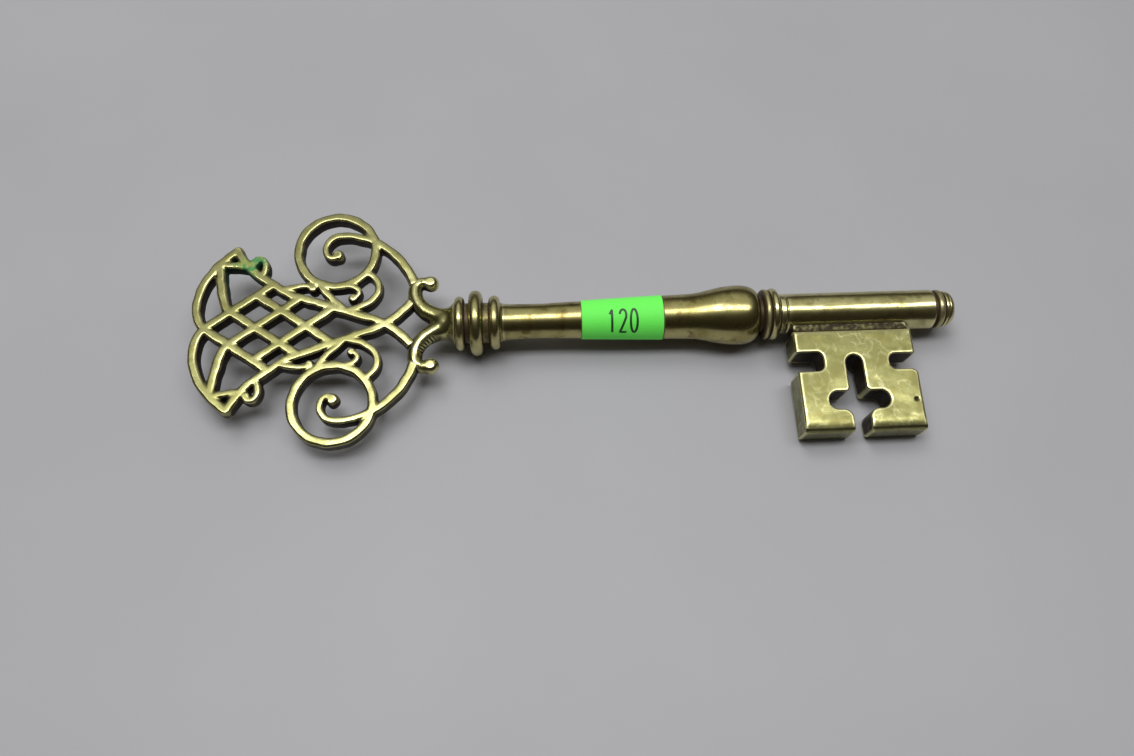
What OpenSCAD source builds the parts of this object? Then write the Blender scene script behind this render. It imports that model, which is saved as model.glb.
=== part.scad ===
// Large decorative brass key: a pierced scrollwork bow, a bracket of two C-scrolls, a turned collar,
// a baluster shank, a neck ring, a barrel with a flat bit, and an end button, held on two studs.
// Each piece is drawn along the key's own axis, with X from bow to tip, X = 0 where the shank meets
// the collar, and bow and bit flat in the XY plane. lying() then lays the piece down as the key rests.

/* [Bow] */
// From the crossing of the side straps to the notch at the far end
bow_l = 49.9; // [45:0.1:60]
// Width across the two ring scrolls
bow_w = 68; // [62:0.5:83]
// Thickness of the flat casting
bow_t = 4.4; // [3:0.1:5.4]
// Width of the rim, ring and arm straps
rim_w = 2.7; // [2.2:0.1:3.3]
// Width of the trellis straps
trellis_w = 2.8; // [2.2:0.1:3.4]
// Width of the curls and of the straps that join them
strap_w = 2.2; // [1.9:0.1:2.8]
// Chamfer along the edges of every strap
strap_edge = 0.6; // [0.3:0.05:0.8]
// Radius of a ring scroll, to the middle of its strap
ring_r = 10.6; // [9.5:0.1:12.7]
// Half the distance between the tips of the ears
ear_y = 23; // [20:0.5:27]
// Angle between a trellis strap and the key's axis
trellis_angle = 35; // [30:1:40]

/* [Scroll bracket] */
// Distance from the collar to the backs of the C-scrolls
bracket_l = 12.8; // [11:0.1:15]
// Half the distance between the crowns of the two scrolls
scroll_y = 14.4; // [13:0.1:17]
// Radius of a scroll across its back
scroll_r = 1.9; // [1.6:0.1:2.4]
// Radius of the ball that ends a scroll
ball_r = 2.4; // [2:0.1:2.8]
// Radius of the neck behind the flare
neck_r = 4.1; // [3.6:0.1:4.8]

/* [Collar] */
// Length of the turned collar
collar_l = 12.9; // [11.5:0.1:15.5]
// Radius of the tall middle bead
middle_bead_r = 8.9; // [8.4:0.1:10.7]
// Radius of the two low beads
side_bead_r = 7.4; // [6.8:0.1:8]
// Radius of the floor between beads
collar_floor_r = 5.5; // [5:0.1:6]

/* [Shank] */
// Length of the baluster from the collar to the neck ring
shank_l = 70.1; // [58:0.1:84.2]
// Radius of the shank at its waist
waist_r = 4.8; // [4.2:0.1:5.8]
// Radius where the slow taper ends and the bulge begins
taper_r = 6.25; // [5.5:0.05:7]
// Greatest radius of the bulge
bulge_r = 8.2; // [7.2:0.05:8.6]
// Radius of the end faces that seat on collar and neck ring
seat_r = 5.2; // [4.8:0.1:5.6]

/* [Neck ring] */
// Length of the turned ring
ring_l = 5.3; // [4.8:0.1:6.4]
// Radius of its higher bead
ring_bead_r = 7.1; // [6.4:0.1:8]

/* [Barrel] */
// Length from the neck ring to the end button
barrel_l = 43.4; // [40:0.1:52]
// Radius of the barrel
barrel_r = 5.45; // [5:0.05:6.5]
// How much smaller the free tip is turned
tip_relief = 0.05; // [0.02:0.01:0.1]
// Length of the end button outside the barrel
button_l = 6.1; // [5:0.1:7.5]

/* [Bit] */
// Distance from the start of the barrel to the bit
bit_gap = 2.6; // [2.2:0.1:4]
// Length of the bit along the barrel
bit_w = 32.5; // [28:0.1:34]
// Distance from the key's axis to the outer edge of the bit
bit_reach = 35.4; // [30:0.1:42]
// Thickness of the bit
bit_t = 8.6; // [7:0.1:9]
// Rounding of the bit's side edges
bit_edge_r = 0.8; // [0.5:0.1:1.5]
// Rounding of the edge that is furthest from the barrel
bit_outer_r = 2.2; // [0.8:0.1:2.8]
// Width of the upright slot
slot_w = 4.6; // [4.4:0.1:5.5]
// Length of the cross slot
cross_l = 16.4; // [12:0.1:18]
// Width of the cross slot
cross_w = 4.9; // [4.4:0.1:6]
// Depth of the side notches
notch_d = 7.4; // [6:0.1:8.8]

/* [Studs and fits] */
// Radius of the stud that holds bow, collar and shank together
bow_stud_r = 2.5; // [2:0.1:2.6]
// Radius of the stud and spigot inside the barrel
barrel_stud_r = 2; // [1.5:0.1:2.3]
// How deep a stud goes into the shank
stud_depth = 8; // [6:0.5:12]
// Clearance round a stud, spigot or tongue
fit_gap = 0.05; // [0.02:0.01:0.1]
// Clearance between the scrolls and the arms that seat on them
saddle_gap = 0.05; // [0.02:0.01:0.15]

/* [Label] */
// Length of the paper lot label along the shank
label_l = 22; // [18:0.5:26]
// Width of the label, wrapped round the shank
label_h = 16; // [12:0.5:18]
// Distance from the collar to the label
label_x = 21.3; // [16:0.1:24]
// Thickness of the paper
label_t = 0.15; // [0.1:0.05:0.3]
// Angle by which the middle of the label leans toward the bit
label_lean = 20; // [0:1:45]

/* [Hidden] */

brass = "darkkhaki";
worn_brass = "khaki";
turn_fn = 96;   // facets round a turned piece when it is drawn
arc_n = 10;     // steps in a quarter turn of a moulding
e = 0.01;       // overlap that keeps cuts clean

// Stations along the key's axis
collar_x0 = -collar_l;
scroll_back_x = collar_x0 - bracket_l;
scroll_v_x = collar_x0 - bracket_l / 2;        // where the two scrolls part
junction_x = scroll_back_x - 4.1;              // where the side straps cross the axis
socket_x = scroll_v_x + 1.4;                   // end of the bow stud's hole, inside the neck
notch_x = junction_x - bow_l;
ring_x0 = shank_l;
barrel_x0 = ring_x0 + ring_l;
barrel_x1 = barrel_x0 + barrel_l;
tip_x = barrel_x1 + button_l;
bit_x0 = barrel_x0 + bit_gap;
bit_x1 = bit_x0 + bit_w;

// Middle bead and bulge touch the ground, so the axis dips toward the tip by this angle
middle_bead_x = -7.2;
bulge_x = shank_l - 5.9;
pitch = asin((middle_bead_r - bulge_r) / (bulge_x - middle_bead_x));
axis_h = middle_bead_r + middle_bead_x * sin(pitch);

// Then the key rolls about its axis until the tip end of the bit's outer edge touches too
corner_h = middle_bead_r - (bit_x1 - bit_edge_r - middle_bead_x) * sin(pitch) - bit_outer_r;
corner_y = bit_reach - bit_outer_r;
corner_z = bit_t / 2 - bit_outer_r;
roll = asin(corner_h / norm([corner_y, corner_z])) - atan(corner_z / corner_y);

// Middle of the key's outline, which is put over the origin
lobe_x = notch_x - 2.5 - rim_w / 2;
middle_x = (lobe_x + tip_x) / 2;
middle_y = (bow_w / 2 - bit_reach) * cos(roll) / 2;

module lying() {
    translate([-middle_x, -middle_y, axis_h])
        rotate([roll, pitch, 0])
            children();
}

// Curves in the plane of the bow
function bezier(p, n = 12) = [for (i = [0 : n]) let (t = i / n, s = 1 - t)
    s * s * s * p[0] + 3 * s * s * t * p[1] + 3 * s * t * t * p[2] + t * t * t * p[3]];
function join(a, b) = concat(a, [for (i = [1 : len(b) - 1]) b[i]]);
function flip(path) = [for (p = path) [p.x, -p.y]];

// Mouldings of a turned piece, as points of radius and station along the axis
function arc(r, x, size, a0, a1) = [for (i = [0 : arc_n]) let (a = a0 + (a1 - a0) * i / arc_n)
    [r + size * sin(a), x + size * cos(a)]];
function bead(r, x, w) = concat(arc(r - w / 2, x, w / 2, 180, 90), arc(r - w / 2, x, w / 2, 90, 0));

// A turned piece from its outline, with the outline's first and last points joined to the axis
module turned(outline) {
    ends = [[0, outline[0][1]], [0, outline[len(outline) - 1][1]]];
    rotate([0, 90, 0])
        rotate_extrude($fn = turn_fn)
            polygon(concat([ends[0]], outline, [ends[1]]));
}

// A round hole or stud along the axis
module along_axis(r, x0, x1) {
    translate([x0, 0, 0])
        rotate([0, 90, 0])
            cylinder(r = r, h = x1 - x0, $fn = turn_fn);
}

// Landmarks of the upper half of the bow
ring_c = [junction_x - 15.3, bow_w / 2 - ring_r - rim_w / 2];
ear = [notch_x + 7.5, ear_y];
trellis_run = tan(trellis_angle);
trellis_pitch = bow_l * 0.27;
waist = [notch_x + bow_l * 0.445, 9.3];
ear_base = [waist.x - 8.6, waist.y + 8.6 * trellis_run];
arm_cross = ring_c + (ring_r + 0.2) * [cos(14), sin(14)];
saddle = [scroll_back_x + scroll_r, scroll_y - scroll_r - 1.2];
inner_saddle = [scroll_back_x + 1.2, 6.3];

rim = bezier([[notch_x, 0], [notch_x - 4.6, 5.5], [notch_x - 2.8, 15.5], ear], 12);
ear_strap = bezier([ear, ear + [1.6, -3], ear_base + [-2.4, 2], ear_base], 5);
strap_bend = waist * 0.25 + [junction_x, 0] * 0.75 - [0, 0.2];
side_strap = [ear_base, waist, strap_bend];
cross_strap = bezier([strap_bend, [junction_x - 1.5, 0.6], [junction_x + 2, -2.4],
                      [inner_saddle.x, -inner_saddle.y]], 6);
ear_bar = [rim[len(rim) - 3], ear_strap[3]];
hook = bezier([ear_base + [0.8, -0.6], ear_base + [2.2, 1.6], ear_base + [2.4, 6],
               ear_base + [-1.2, 4.9]], 8);
horn = bezier([waist + [-2.6, 1.2], waist + [1, 2.1], waist + [4.2, 3.2], waist + [6.4, 2]], 6);
arm = bezier([saddle, saddle + [-1.4, 4.8], arm_cross + [5.8, -3.2], arm_cross], 9);
volute_bend = ring_c + [-3, 1.6];
volute = join(bezier([arm_cross, arm_cross + [-5, 2.2], volute_bend + [1.4, 5], volute_bend], 8),
              bezier([volute_bend, volute_bend + [-0.8, -3], ring_c + [-1.4, -3], ring_c + [0.4, -1.4]], 5));
loop_foot = (waist + [junction_x, 0]) / 2;
loop_head = ring_c + ring_r * [cos(-38), sin(-38)];
loop = bezier([loop_foot + [0.6, -0.6], loop_foot + [10.2, 0.4], loop_head + [6.2, -4.2], loop_head], 10);
link = bezier([ring_c + ring_r * [cos(245), sin(245)], ring_c + [-3, -12.6], loop_foot + [-1.8, 2.4],
               loop_foot + [1.8, -0.8]], 5);
leaf = bezier([ring_c + ring_r * [cos(282), sin(282)], ring_c + [5.2, -10.4], ring_c + [8.2, -12.6],
               ring_c + [4.6, -14.6]], 6);

// Every curved strap of the upper half, with its width at each end and its lift
half_straps = [
    [rim, rim_w, rim_w, 0],
    [join(join(ear_strap, side_strap), cross_strap), rim_w, rim_w, 1],
    [ear_bar, strap_w, strap_w, 3],
    [hook, strap_w, strap_w * 0.8, 3],
    [horn, strap_w, strap_w * 0.7, 3],
    [join(arm, volute), rim_w * 1.1, strap_w * 0.8, 1],
    [loop, strap_w, strap_w, 2],
    [link, strap_w, strap_w, 3],
    [leaf, strap_w, strap_w * 0.7, 3]
];

// The round ends of the curls, with their radii
half_ends = [
    [ear, 1.4],
    [hook[len(hook) - 1] + [0, -0.8], 1.5],
    [horn[len(horn) - 1] + [-0.3, -0.3], 1.4],
    [volute[len(volute) - 1] + [-0.2, 0.3], 1.8],
    [leaf[len(leaf) - 1] + [0.1, 0.3], 1.4]
];

// Section of a strap before its faces are cut flat: upright sides, then a roof that leaves the chamfer.
// Lift is a hair of height that keeps the edges of two crossing straps from running into one another.
lift_step = 0.03;
function side_h(lift) = bow_t / 2 - strap_edge - lift_step * lift;
function strap_section(w, lift) = let (h = side_h(lift))
    [[w / 2, -h], [w / 2, h], [0, h + w / 2], [-w / 2, h], [-w / 2, -h], [0, -h - w / 2]];

// Faces of a sweep of n rings with k points each
function sweep_faces(n, k) = concat(
    [[for (j = [k - 1 : -1 : 0]) j]],
    [for (i = [0 : n - 2], j = [0 : k - 1]) let (m = (j + 1) % k)
        each [[i * k + j, (i + 1) * k + m, (i + 1) * k + j], [i * k + j, i * k + m, (i + 1) * k + m]]],
    [[for (j = [0 : k - 1]) (n - 1) * k + j]]);

function direction(path, i) = let (d = path[min(i + 1, len(path) - 1)] - path[max(i - 1, 0)]) d / norm(d);

// Nearest place on a fine grid, which keeps the facets of a strap clearly apart in slope
function on_grid(v) = round(v * 50) / 50;

// A strap along a path, from width w0 at its start to w1 at its end
module strap(path, w0, w1, lift) {
    n = len(path);
    points = [for (i = [0 : n - 1])
        let (d = direction(path, i), w = w0 + (w1 - w0) * i / (n - 1))
            for (s = strap_section(w, lift))
                [on_grid(path[i].x + d.y * s[0]), on_grid(path[i].y - d.x * s[0]), s[1]]];
    polyhedron(points, sweep_faces(n, 6), convexity = 8);
}

module curl_end(centre, r, lift) {
    over = 0.4;
    translate([centre.x, centre.y, 0])
        hull() {
            cylinder(r = r, h = 2 * side_h(lift), center = true, $fn = 16);
            cylinder(r = r - strap_edge - over, h = bow_t + 2 * over, center = true, $fn = 16);
        }
}

module ring_scroll(lift) {
    section = [for (s = strap_section(rim_w, lift)) [ring_r + s[0], s[1]]];
    translate([ring_c.x, ring_c.y, 0])
        rotate_extrude($fn = 48)
            polygon(section);
}

// Where the trellis line that rises through [x, 0] meets a path, looked for from point i on
function meet(path, x, i = 0) =
    let (a = path[i], b = path[i + 1],
         over_a = a.y - trellis_run * (a.x - x), over_b = b.y - trellis_run * (b.x - x))
    over_a * over_b <= 0 || i == len(path) - 2
        ? a + (b - a) * over_a / (over_a - over_b)
        : meet(path, x, i + 1);

// Three straps rise to the upper side strap from the first strap of the other slant, where each crosses it.
// The middle one runs on past the crossing and bends to the rim near the lower ear.
function crossing(i) = [notch_x + i * trellis_pitch / 2, -trellis_run * i * trellis_pitch / 2];
panel_edge = join(ear_strap, side_strap);
straight_runs = [for (i = [0 : 2]) [crossing(i), meet(panel_edge, notch_x + i * trellis_pitch)]];
lower_root = flip(rim)[len(rim) - 3];
ear_run = bezier([lower_root, lower_root + [0.3, 5], crossing(1) - [2.4, 2.4 * trellis_run], crossing(1)], 8);
trellis_lines = [straight_runs[0], join(ear_run, straight_runs[1]), straight_runs[2]];

module half_bow(lift) {
    for (s = half_straps)
        strap(s[0], s[1], s[2], s[3] + lift);
    for (line = trellis_lines)
        strap(line, trellis_w, trellis_w, 2 + lift);
    for (c = half_ends)
        curl_end(c[0], c[1], lift - 1);
    ring_scroll(lift);
}

// Middle line of a C-scroll from the neck, over its back, to the ball
scroll_path = join(
    bezier([[scroll_v_x + 3.4, 1.5], [scroll_v_x - 0.6, 2.4],
            [scroll_back_x + scroll_r - 0.1, 5.4], [scroll_back_x + scroll_r, 9.4]], 10),
    bezier([[scroll_back_x + scroll_r, 9.4], [scroll_back_x + scroll_r, scroll_y - 2.6],
            [scroll_back_x + 3.4, scroll_y - 1.6], [scroll_back_x + 6.2, scroll_y - 2.3]], 6));
ball_c = scroll_path[len(scroll_path) - 1];

// A C-scroll of round section, thick at the root; more is added to its radius all round
module c_scroll(more = 0) {
    n = len(scroll_path);
    k = 12;
    points = [for (i = [0 : n - 1])
        let (d = direction(scroll_path, i), u = i / (n - 1),
             r = scroll_r + 1.1 * pow(1 - u, 3) + more)
            for (j = [0 : k - 1])
                let (a = 360 * j / k)
                    [scroll_path[i].x + d.y * r * cos(a), scroll_path[i].y - d.x * r * cos(a), 1.2 * r * sin(a)]];
    polyhedron(points, sweep_faces(n, k), convexity = 6);
}

module both_sides() {
    children();
    mirror([0, 1, 0])
        children();
}

module bow() {
    color(brass)
        lying()
            difference() {
                intersection() {
                    union() {
                        half_bow(0);
                        mirror([0, 1, 0])
                            half_bow(0.5);
                    }
                    translate([notch_x - 20, -bow_w, -bow_t / 2])
                        cube([bow_l + 40, 2 * bow_w, bow_t]);
                }
                both_sides()
                    c_scroll(saddle_gap);
            }
}

flare_r = side_bead_r - 1.3;

module scroll_bracket() {
    nose = bezier([[1.2, scroll_v_x + 0.3], [2.6, scroll_v_x + 0.6], [neck_r - 0.4, scroll_v_x + 1.6],
                   [neck_r, scroll_v_x + 3.4]], 6);
    flare = bezier([[neck_r, scroll_v_x + 3.4], [neck_r + 0.1, collar_x0 - 1.7],
                    [flare_r - 0.9, collar_x0 - 0.8], [flare_r, collar_x0]], 8);
    color(brass)
        lying()
            difference() {
                union() {
                    turned(join(nose, flare));
                    both_sides() {
                        c_scroll();
                        translate([ball_c.x, ball_c.y, 0])
                            sphere(r = ball_r, $fn = 32);
                    }
                }
                along_axis(bow_stud_r + fit_gap, socket_x, collar_x0 + e);
            }
}

module collar() {
    floor_r = collar_floor_r;
    outline = concat(
        bead(side_bead_r, collar_x0 + 1.3, 2.6),
        [[floor_r, collar_x0 + 2.6], [floor_r, middle_bead_x - 1.8]],
        bead(middle_bead_r, middle_bead_x, 3.6),
        [[floor_r, middle_bead_x + 1.8], [floor_r, -3.7]],
        bead(side_bead_r, -2.2, 3),
        [[floor_r, -0.7], [seat_r, 0]]);
    color(brass)
        lying()
            difference() {
                turned(outline);
                along_axis(bow_stud_r + fit_gap, collar_x0 - e, e);
            }
}

// Radius and station along the baluster: a short cove, the waist, a slow taper, then the bulge
taper_x = shank_l - 19.2;
waist_x = 11.2;
shank_outline = concat(
    bezier([[seat_r, 0], [waist_r + 0.1, 0.8], [waist_r, 4], [waist_r, waist_x]], 8),
    bezier([[taper_r, taper_x], [taper_r + 0.2, taper_x + 4.6], [bulge_r, bulge_x - 5.7],
            [bulge_r, bulge_x]], 16),
    bezier([[bulge_r, bulge_x + 0.01], [bulge_r, bulge_x + 3.4], [bulge_r - 1, shank_l - 0.4],
            [seat_r - 0.4, shank_l]], 12));

module shank() {
    color(brass)
        lying()
            difference() {
                turned(shank_outline);
                along_axis(bow_stud_r + fit_gap, -e, stud_depth + fit_gap);
                along_axis(barrel_stud_r + fit_gap, shank_l - stud_depth - fit_gap, shank_l + e);
            }
}

module neck_ring() {
    neck = seat_r - 0.45;
    low_x = ring_x0 + 1.8;
    high_x = ring_x0 + 3.95;
    outline = concat(
        [[neck, ring_x0], [neck, ring_x0 + 0.8]],
        bead(ring_bead_r - 0.2, low_x, 2),
        bead(ring_bead_r, high_x, 2.3),
        [[neck + 0.2, high_x + 1.15], [neck + 0.2, barrel_x0]]);
    color(brass)
        lying()
            difference() {
                turned(outline);
                along_axis(barrel_stud_r + fit_gap, ring_x0 - e, barrel_x0 + e);
            }
}

// The tongue of the bit, which sits in a mortise in the barrel; more widens it all round
tongue_inner = barrel_stud_r + 1.2;
module tongue(more = 0) {
    x0 = bit_x0 + 1.5 - more;
    x1 = bit_x1 - 1.5 + more;
    translate([x0, -barrel_r - 1, -2.5 - more])
        cube([x1 - x0, barrel_r + 1 - tongue_inner + more, 5 + 2 * more]);
}

spigot_l = 8;

module barrel() {
    relief_x = bit_x1 + 0.3;
    groove_x = barrel_x0 + 2;
    tip_r = barrel_r - tip_relief;
    outline = [
        [barrel_r - 0.35, barrel_x0], [barrel_r, barrel_x0 + 0.4],
        [barrel_r, groove_x - 0.35], [barrel_r - 0.25, groove_x], [barrel_r, groove_x + 0.35],
        [barrel_r, relief_x], [tip_r, relief_x + 0.7],
        [tip_r, barrel_x1 - 0.5], [tip_r - 0.5, barrel_x1]];
    color(brass)
        lying()
            difference() {
                turned(outline);
                along_axis(barrel_stud_r + fit_gap, barrel_x0 - e, barrel_x0 + stud_depth + fit_gap);
                along_axis(barrel_stud_r + fit_gap, barrel_x1 - spigot_l - fit_gap, barrel_x1 + e);
                tongue(fit_gap);
            }
}

// From the barrel: a groove, a round band, a groove, a thin ridge, a groove and the dome
module end_button() {
    band_x = barrel_x1 + 0.45;
    ridge_x = barrel_x1 + 2.8;
    dome_x = barrel_x1 + 3.85;
    dome_l = tip_x - dome_x;
    button_r = barrel_r - 0.4;
    dome_r = button_r - 0.25;
    outline = concat(
        [[button_r - 0.5, barrel_x1], [button_r - 0.5, band_x]],
        bezier([[button_r - 0.3, band_x], [button_r + 0.5, band_x + 0.2],
                [button_r + 0.5, band_x + 1.8], [button_r - 0.4, band_x + 2]], 8),
        [[button_r - 0.6, ridge_x - 0.2], [button_r - 0.1, ridge_x], [button_r - 0.1, ridge_x + 0.5],
         [button_r - 0.6, ridge_x + 0.75], [dome_r, dome_x]],
        [for (i = [1 : arc_n]) let (a = 90 * i / arc_n) [dome_r * cos(a) + e, dome_x + dome_l * sin(a)]]);
    color(brass)
        lying() {
            turned(outline);
            along_axis(barrel_stud_r, barrel_x1 - spigot_l, barrel_x1 + e);
        }
}

module round_slot(x0, x1, y, w) {
    r = w / 2;
    translate([x0 + r, y - r])
        square([x1 - x0 - w, w]);
    for (x = [x0 + r, x1 - r])
        translate([x, y])
            circle(r, $fn = 48);
}

// A notch from the side with rounded inner corners, open toward way = -1 or 1
module side_notch(x, y0, y1, way) {
    r = 1.8;
    h = y1 - y0;
    open = notch_d + 5;
    translate([x, y0])
        scale_x(way) {
            translate([-notch_d + r, 0])
                square([open, h]);
            translate([-notch_d, r])
                square([r + e, h - 2 * r]);
            for (y = [r, h - r])
                translate([-notch_d + r, y])
                    circle(r, $fn = 48);
        }
}

module scale_x(way) {
    if (way > 0)
        children();
    else
        mirror([1, 0])
            children();
}

// What rounds off a corner of the plate at the origin; the plate lies toward side along X and toward way along Y
module corner_cut(r, side, way) {
    difference() {
        translate([side > 0 ? -e : -r, way > 0 ? -e : -r])
            square([r + e, r + e]);
        translate([side * r, way * r])
            circle(r, $fn = 48);
    }
}

module bit_outline() {
    slot_x = bit_x0 + bit_w * 0.477;
    cross_y = -bit_reach + 8.6;
    slot_top = -bit_reach + 21.2;
    shoulder_r = 2.4;
    crotch_r = 1.2;
    difference() {
        translate([bit_x0, -bit_reach])
            square([bit_w, bit_reach - barrel_r - 1.65]);
        side_notch(bit_x0, -bit_reach + 16.9, -bit_reach + 22.3, -1);
        side_notch(bit_x1, -bit_reach + 16.8, -bit_reach + 21.2, 1);
        translate([slot_x - slot_w / 2, -bit_reach - 1])
            square([slot_w, slot_top - slot_w / 2 + bit_reach + 1]);
        translate([slot_x, slot_top - slot_w / 2])
            circle(slot_w / 2, $fn = 48);
        round_slot(slot_x - cross_l / 2, slot_x + cross_l / 2, cross_y, cross_w);
        for (side = [-1, 1]) {
            translate([slot_x + side * slot_w / 2, cross_y - cross_w / 2])
                corner_cut(shoulder_r, side, -1);
            translate([slot_x + side * slot_w / 2, cross_y + cross_w / 2])
                corner_cut(crotch_r, side, 1);
        }
        translate([bit_x1, -bit_reach + 16.8])
            corner_cut(crotch_r, -1, -1);
    }
}

// Rectangle from p to q with its corners rounded, by rp on the side of p and by rq on the side of q
function rounded(p, q, rp, rq) = [for (c = [[q.x - rq, q.y - rq, 0, rq], [p.x + rp, q.y - rp, 90, rp],
                                            [p.x + rp, p.y + rp, 180, rp], [q.x - rq, p.y + rq, 270, rq]],
                                       i = [0 : 5])
    let (a = c[2] + 18 * i) [c[0] + c[3] * cos(a), c[1] + c[3] * sin(a)]];

module bit() {
    web_t = 6;
    inner_y = -barrel_r - 1.65;
    color(brass)
        lying()
            union() {
                intersection() {
                    linear_extrude(bit_t + 2, center = true)
                        bit_outline();
                    translate([bit_x0 - 1, 0, 0])
                        rotate([90, 0, 90])
                            linear_extrude(bit_w + 2)
                                polygon(rounded([-bit_reach, -bit_t / 2], [inner_y, bit_t / 2],
                                                bit_outer_r, bit_edge_r));
                    translate([0, 1, 0])
                        rotate([90, 0, 0])
                            linear_extrude(bit_reach + 2)
                                polygon(rounded([bit_x0, -bit_t / 2], [bit_x1, bit_t / 2],
                                                bit_edge_r, bit_edge_r));
                }
                difference() {
                    translate([bit_x0 + 0.5, inner_y - 1, -web_t / 2])
                        cube([bit_w - 1, 1 - inner_y - 4, web_t]);
                    along_axis(barrel_r + fit_gap, bit_x0 - 1, bit_x1 + 1);
                }
                tongue();
            }
}

module bow_stud() {
    color(worn_brass)
        lying()
            along_axis(bow_stud_r, socket_x + fit_gap, stud_depth);
}

module barrel_stud() {
    color(worn_brass)
        lying()
            along_axis(barrel_stud_r, shank_l - stud_depth, barrel_x0 + stud_depth);
}

// Radius of the shank where the label lies, on its straight taper
function shank_r_at(x) = waist_r + (taper_r - waist_r) * (x - waist_x) / (taper_x - waist_x);

module lot_label() {
    r0 = shank_r_at(label_x) + 0.03;
    r1 = shank_r_at(label_x + label_l) + 0.03;
    wrap = label_h / ((r0 + r1) / 2) * 180 / PI;
    color("springgreen")
        lying()
            rotate([90 + label_lean, 0, 0])
                rotate([0, 90, 0])
                    rotate([0, 0, 180 - wrap / 2])
                        rotate_extrude(angle = wrap, $fn = turn_fn)
                            polygon([[r0, label_x], [r0 + label_t, label_x],
                                     [r1 + label_t, label_x + label_l], [r1, label_x + label_l]]);
}

bow();
scroll_bracket();
collar();
shank();
neck_ring();
barrel();
bit();
end_button();
bow_stud();
barrel_stud();
lot_label();
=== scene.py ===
# A large decorative brass key on a grey table: cast bow, scrolls and bit, turned collar, shank and barrel
import math
from functools import partial
import bpy
import bmesh
import numpy as np
from mathutils import Matrix, Vector, noise
from mathutils.bvhtree import BVHTree


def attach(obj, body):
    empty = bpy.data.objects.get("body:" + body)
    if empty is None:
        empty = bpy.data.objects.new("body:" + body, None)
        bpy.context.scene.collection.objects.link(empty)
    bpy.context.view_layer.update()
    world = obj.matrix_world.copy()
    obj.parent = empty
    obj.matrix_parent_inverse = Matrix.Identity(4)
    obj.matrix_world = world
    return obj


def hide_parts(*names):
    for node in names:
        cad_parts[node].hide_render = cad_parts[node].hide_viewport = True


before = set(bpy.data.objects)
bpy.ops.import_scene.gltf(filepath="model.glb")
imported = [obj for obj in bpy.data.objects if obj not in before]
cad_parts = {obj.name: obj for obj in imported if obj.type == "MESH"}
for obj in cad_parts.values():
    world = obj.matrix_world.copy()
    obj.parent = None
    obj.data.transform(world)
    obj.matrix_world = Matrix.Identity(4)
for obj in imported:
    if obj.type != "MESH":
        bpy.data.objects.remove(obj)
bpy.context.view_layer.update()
print("frame loaded with", len(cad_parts), "nodes")

# Places along the key's own axis in millimetres, from bow to tip, with 0 where the shank meets the collar
key = {
    "notch": -79.7, "junction": -29.8, "scrollBack": -25.7, "scrollV": -19.3, "collarStart": -12.9,
    "middleBead": -7.2, "waist": 11.2, "taper": 50.9, "bulge": 64.2, "shankEnd": 70.1, "barrelStart": 75.4,
    "bitStart": 78.0, "bitEnd": 110.5, "barrelEnd": 118.8, "tip": 124.9,
}


def addNode(tree, kind, links=None, **settings):
    # Links are values, sockets, nodes (for their first output in use) or lists of these
    node = tree.nodes.new(kind)
    for name, value in settings.items():
        setattr(node, name, value)
    for name, value in (links or {}).items():
        for source in value if isinstance(value, list) else [value]:
            if isinstance(source, bpy.types.Node):
                source = next(socket for socket in source.outputs if socket.enabled)
            if isinstance(source, bpy.types.NodeSocket):
                tree.links.new(source, node.inputs[name])
            else:
                node.inputs[name].default_value = source
    return node


def emptied(owner):
    # Clears a material's or world's node tree and returns the function that adds nodes to it
    owner.use_nodes = True
    owner.node_tree.nodes.clear()
    return partial(addNode, owner.node_tree)


def linearColour(hexCode):
    # sRGB hex to linear RGBA
    parts = [int(hexCode[i:i + 2], 16) / 255 for i in (1, 3, 5)]
    return (*(c / 12.92 if c <= 0.04045 else ((c + 0.055) / 1.055) ** 2.4 for c in parts), 1.0)


def link(obj):
    bpy.context.scene.collection.objects.link(obj)
    return obj


# Paths and outlines, as arrays of points
def bezier(p0, p1, p2, p3, steps):
    t = np.linspace(0, 1, steps + 1)[:, None]
    s = 1 - t
    return np.hstack([s ** 3, 3 * s * s * t, 3 * s * t * t, t ** 3]) @ np.array([p0, p1, p2, p3], float)


def arc(centre, r, a0, a1, steps=12, tallR=None):
    # Part of a circle, or of an oval with a tall radius of its own, from one angle to another in degrees
    a = np.radians(np.linspace(a0, a1, steps + 1))
    return np.column_stack([r * np.cos(a), (tallR or r) * np.sin(a)]) + centre


def joined(*paths):
    return np.vstack([paths[0]] + [p[1:] for p in paths[1:]])


def smoothStep(x, low, high):
    # Rises from 0 at low to 1 at high, and falls where low is the larger
    t = np.clip((x - low) / (high - low), 0, 1)
    return t * t * (3 - 2 * t)


def hump(x, riseStart, riseEnd, fallStart, fallEnd):
    return smoothStep(x, riseStart, riseEnd) * smoothStep(x, fallEnd, fallStart)


# Helpers that make and treat meshes in the key's own frame, in millimetres
def meshOf(form, name):
    # Turns a bmesh into a mesh with its normals outward
    bmesh.ops.recalc_face_normals(form, faces=form.faces)
    mesh = bpy.data.meshes.new(name + "Form")
    form.to_mesh(mesh)
    form.free()
    return mesh


def vertexArray(mesh, normals=False):
    source, what = (mesh.vertex_normals, "vector") if normals else (mesh.vertices, "co")
    values = np.zeros(len(source) * 3, np.float32)
    source.foreach_get(what, values)
    return values.reshape(-1, 3).astype(float)


def setVertices(mesh, places):
    mesh.vertices.foreach_set("co", places.astype(np.float32).ravel())
    mesh.update()


def setShade(mesh, name, values):
    layer = mesh.attributes.new(name, "FLOAT", "POINT")
    layer.data.foreach_set("value", np.clip(values, 0, 1).astype(np.float32))


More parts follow.
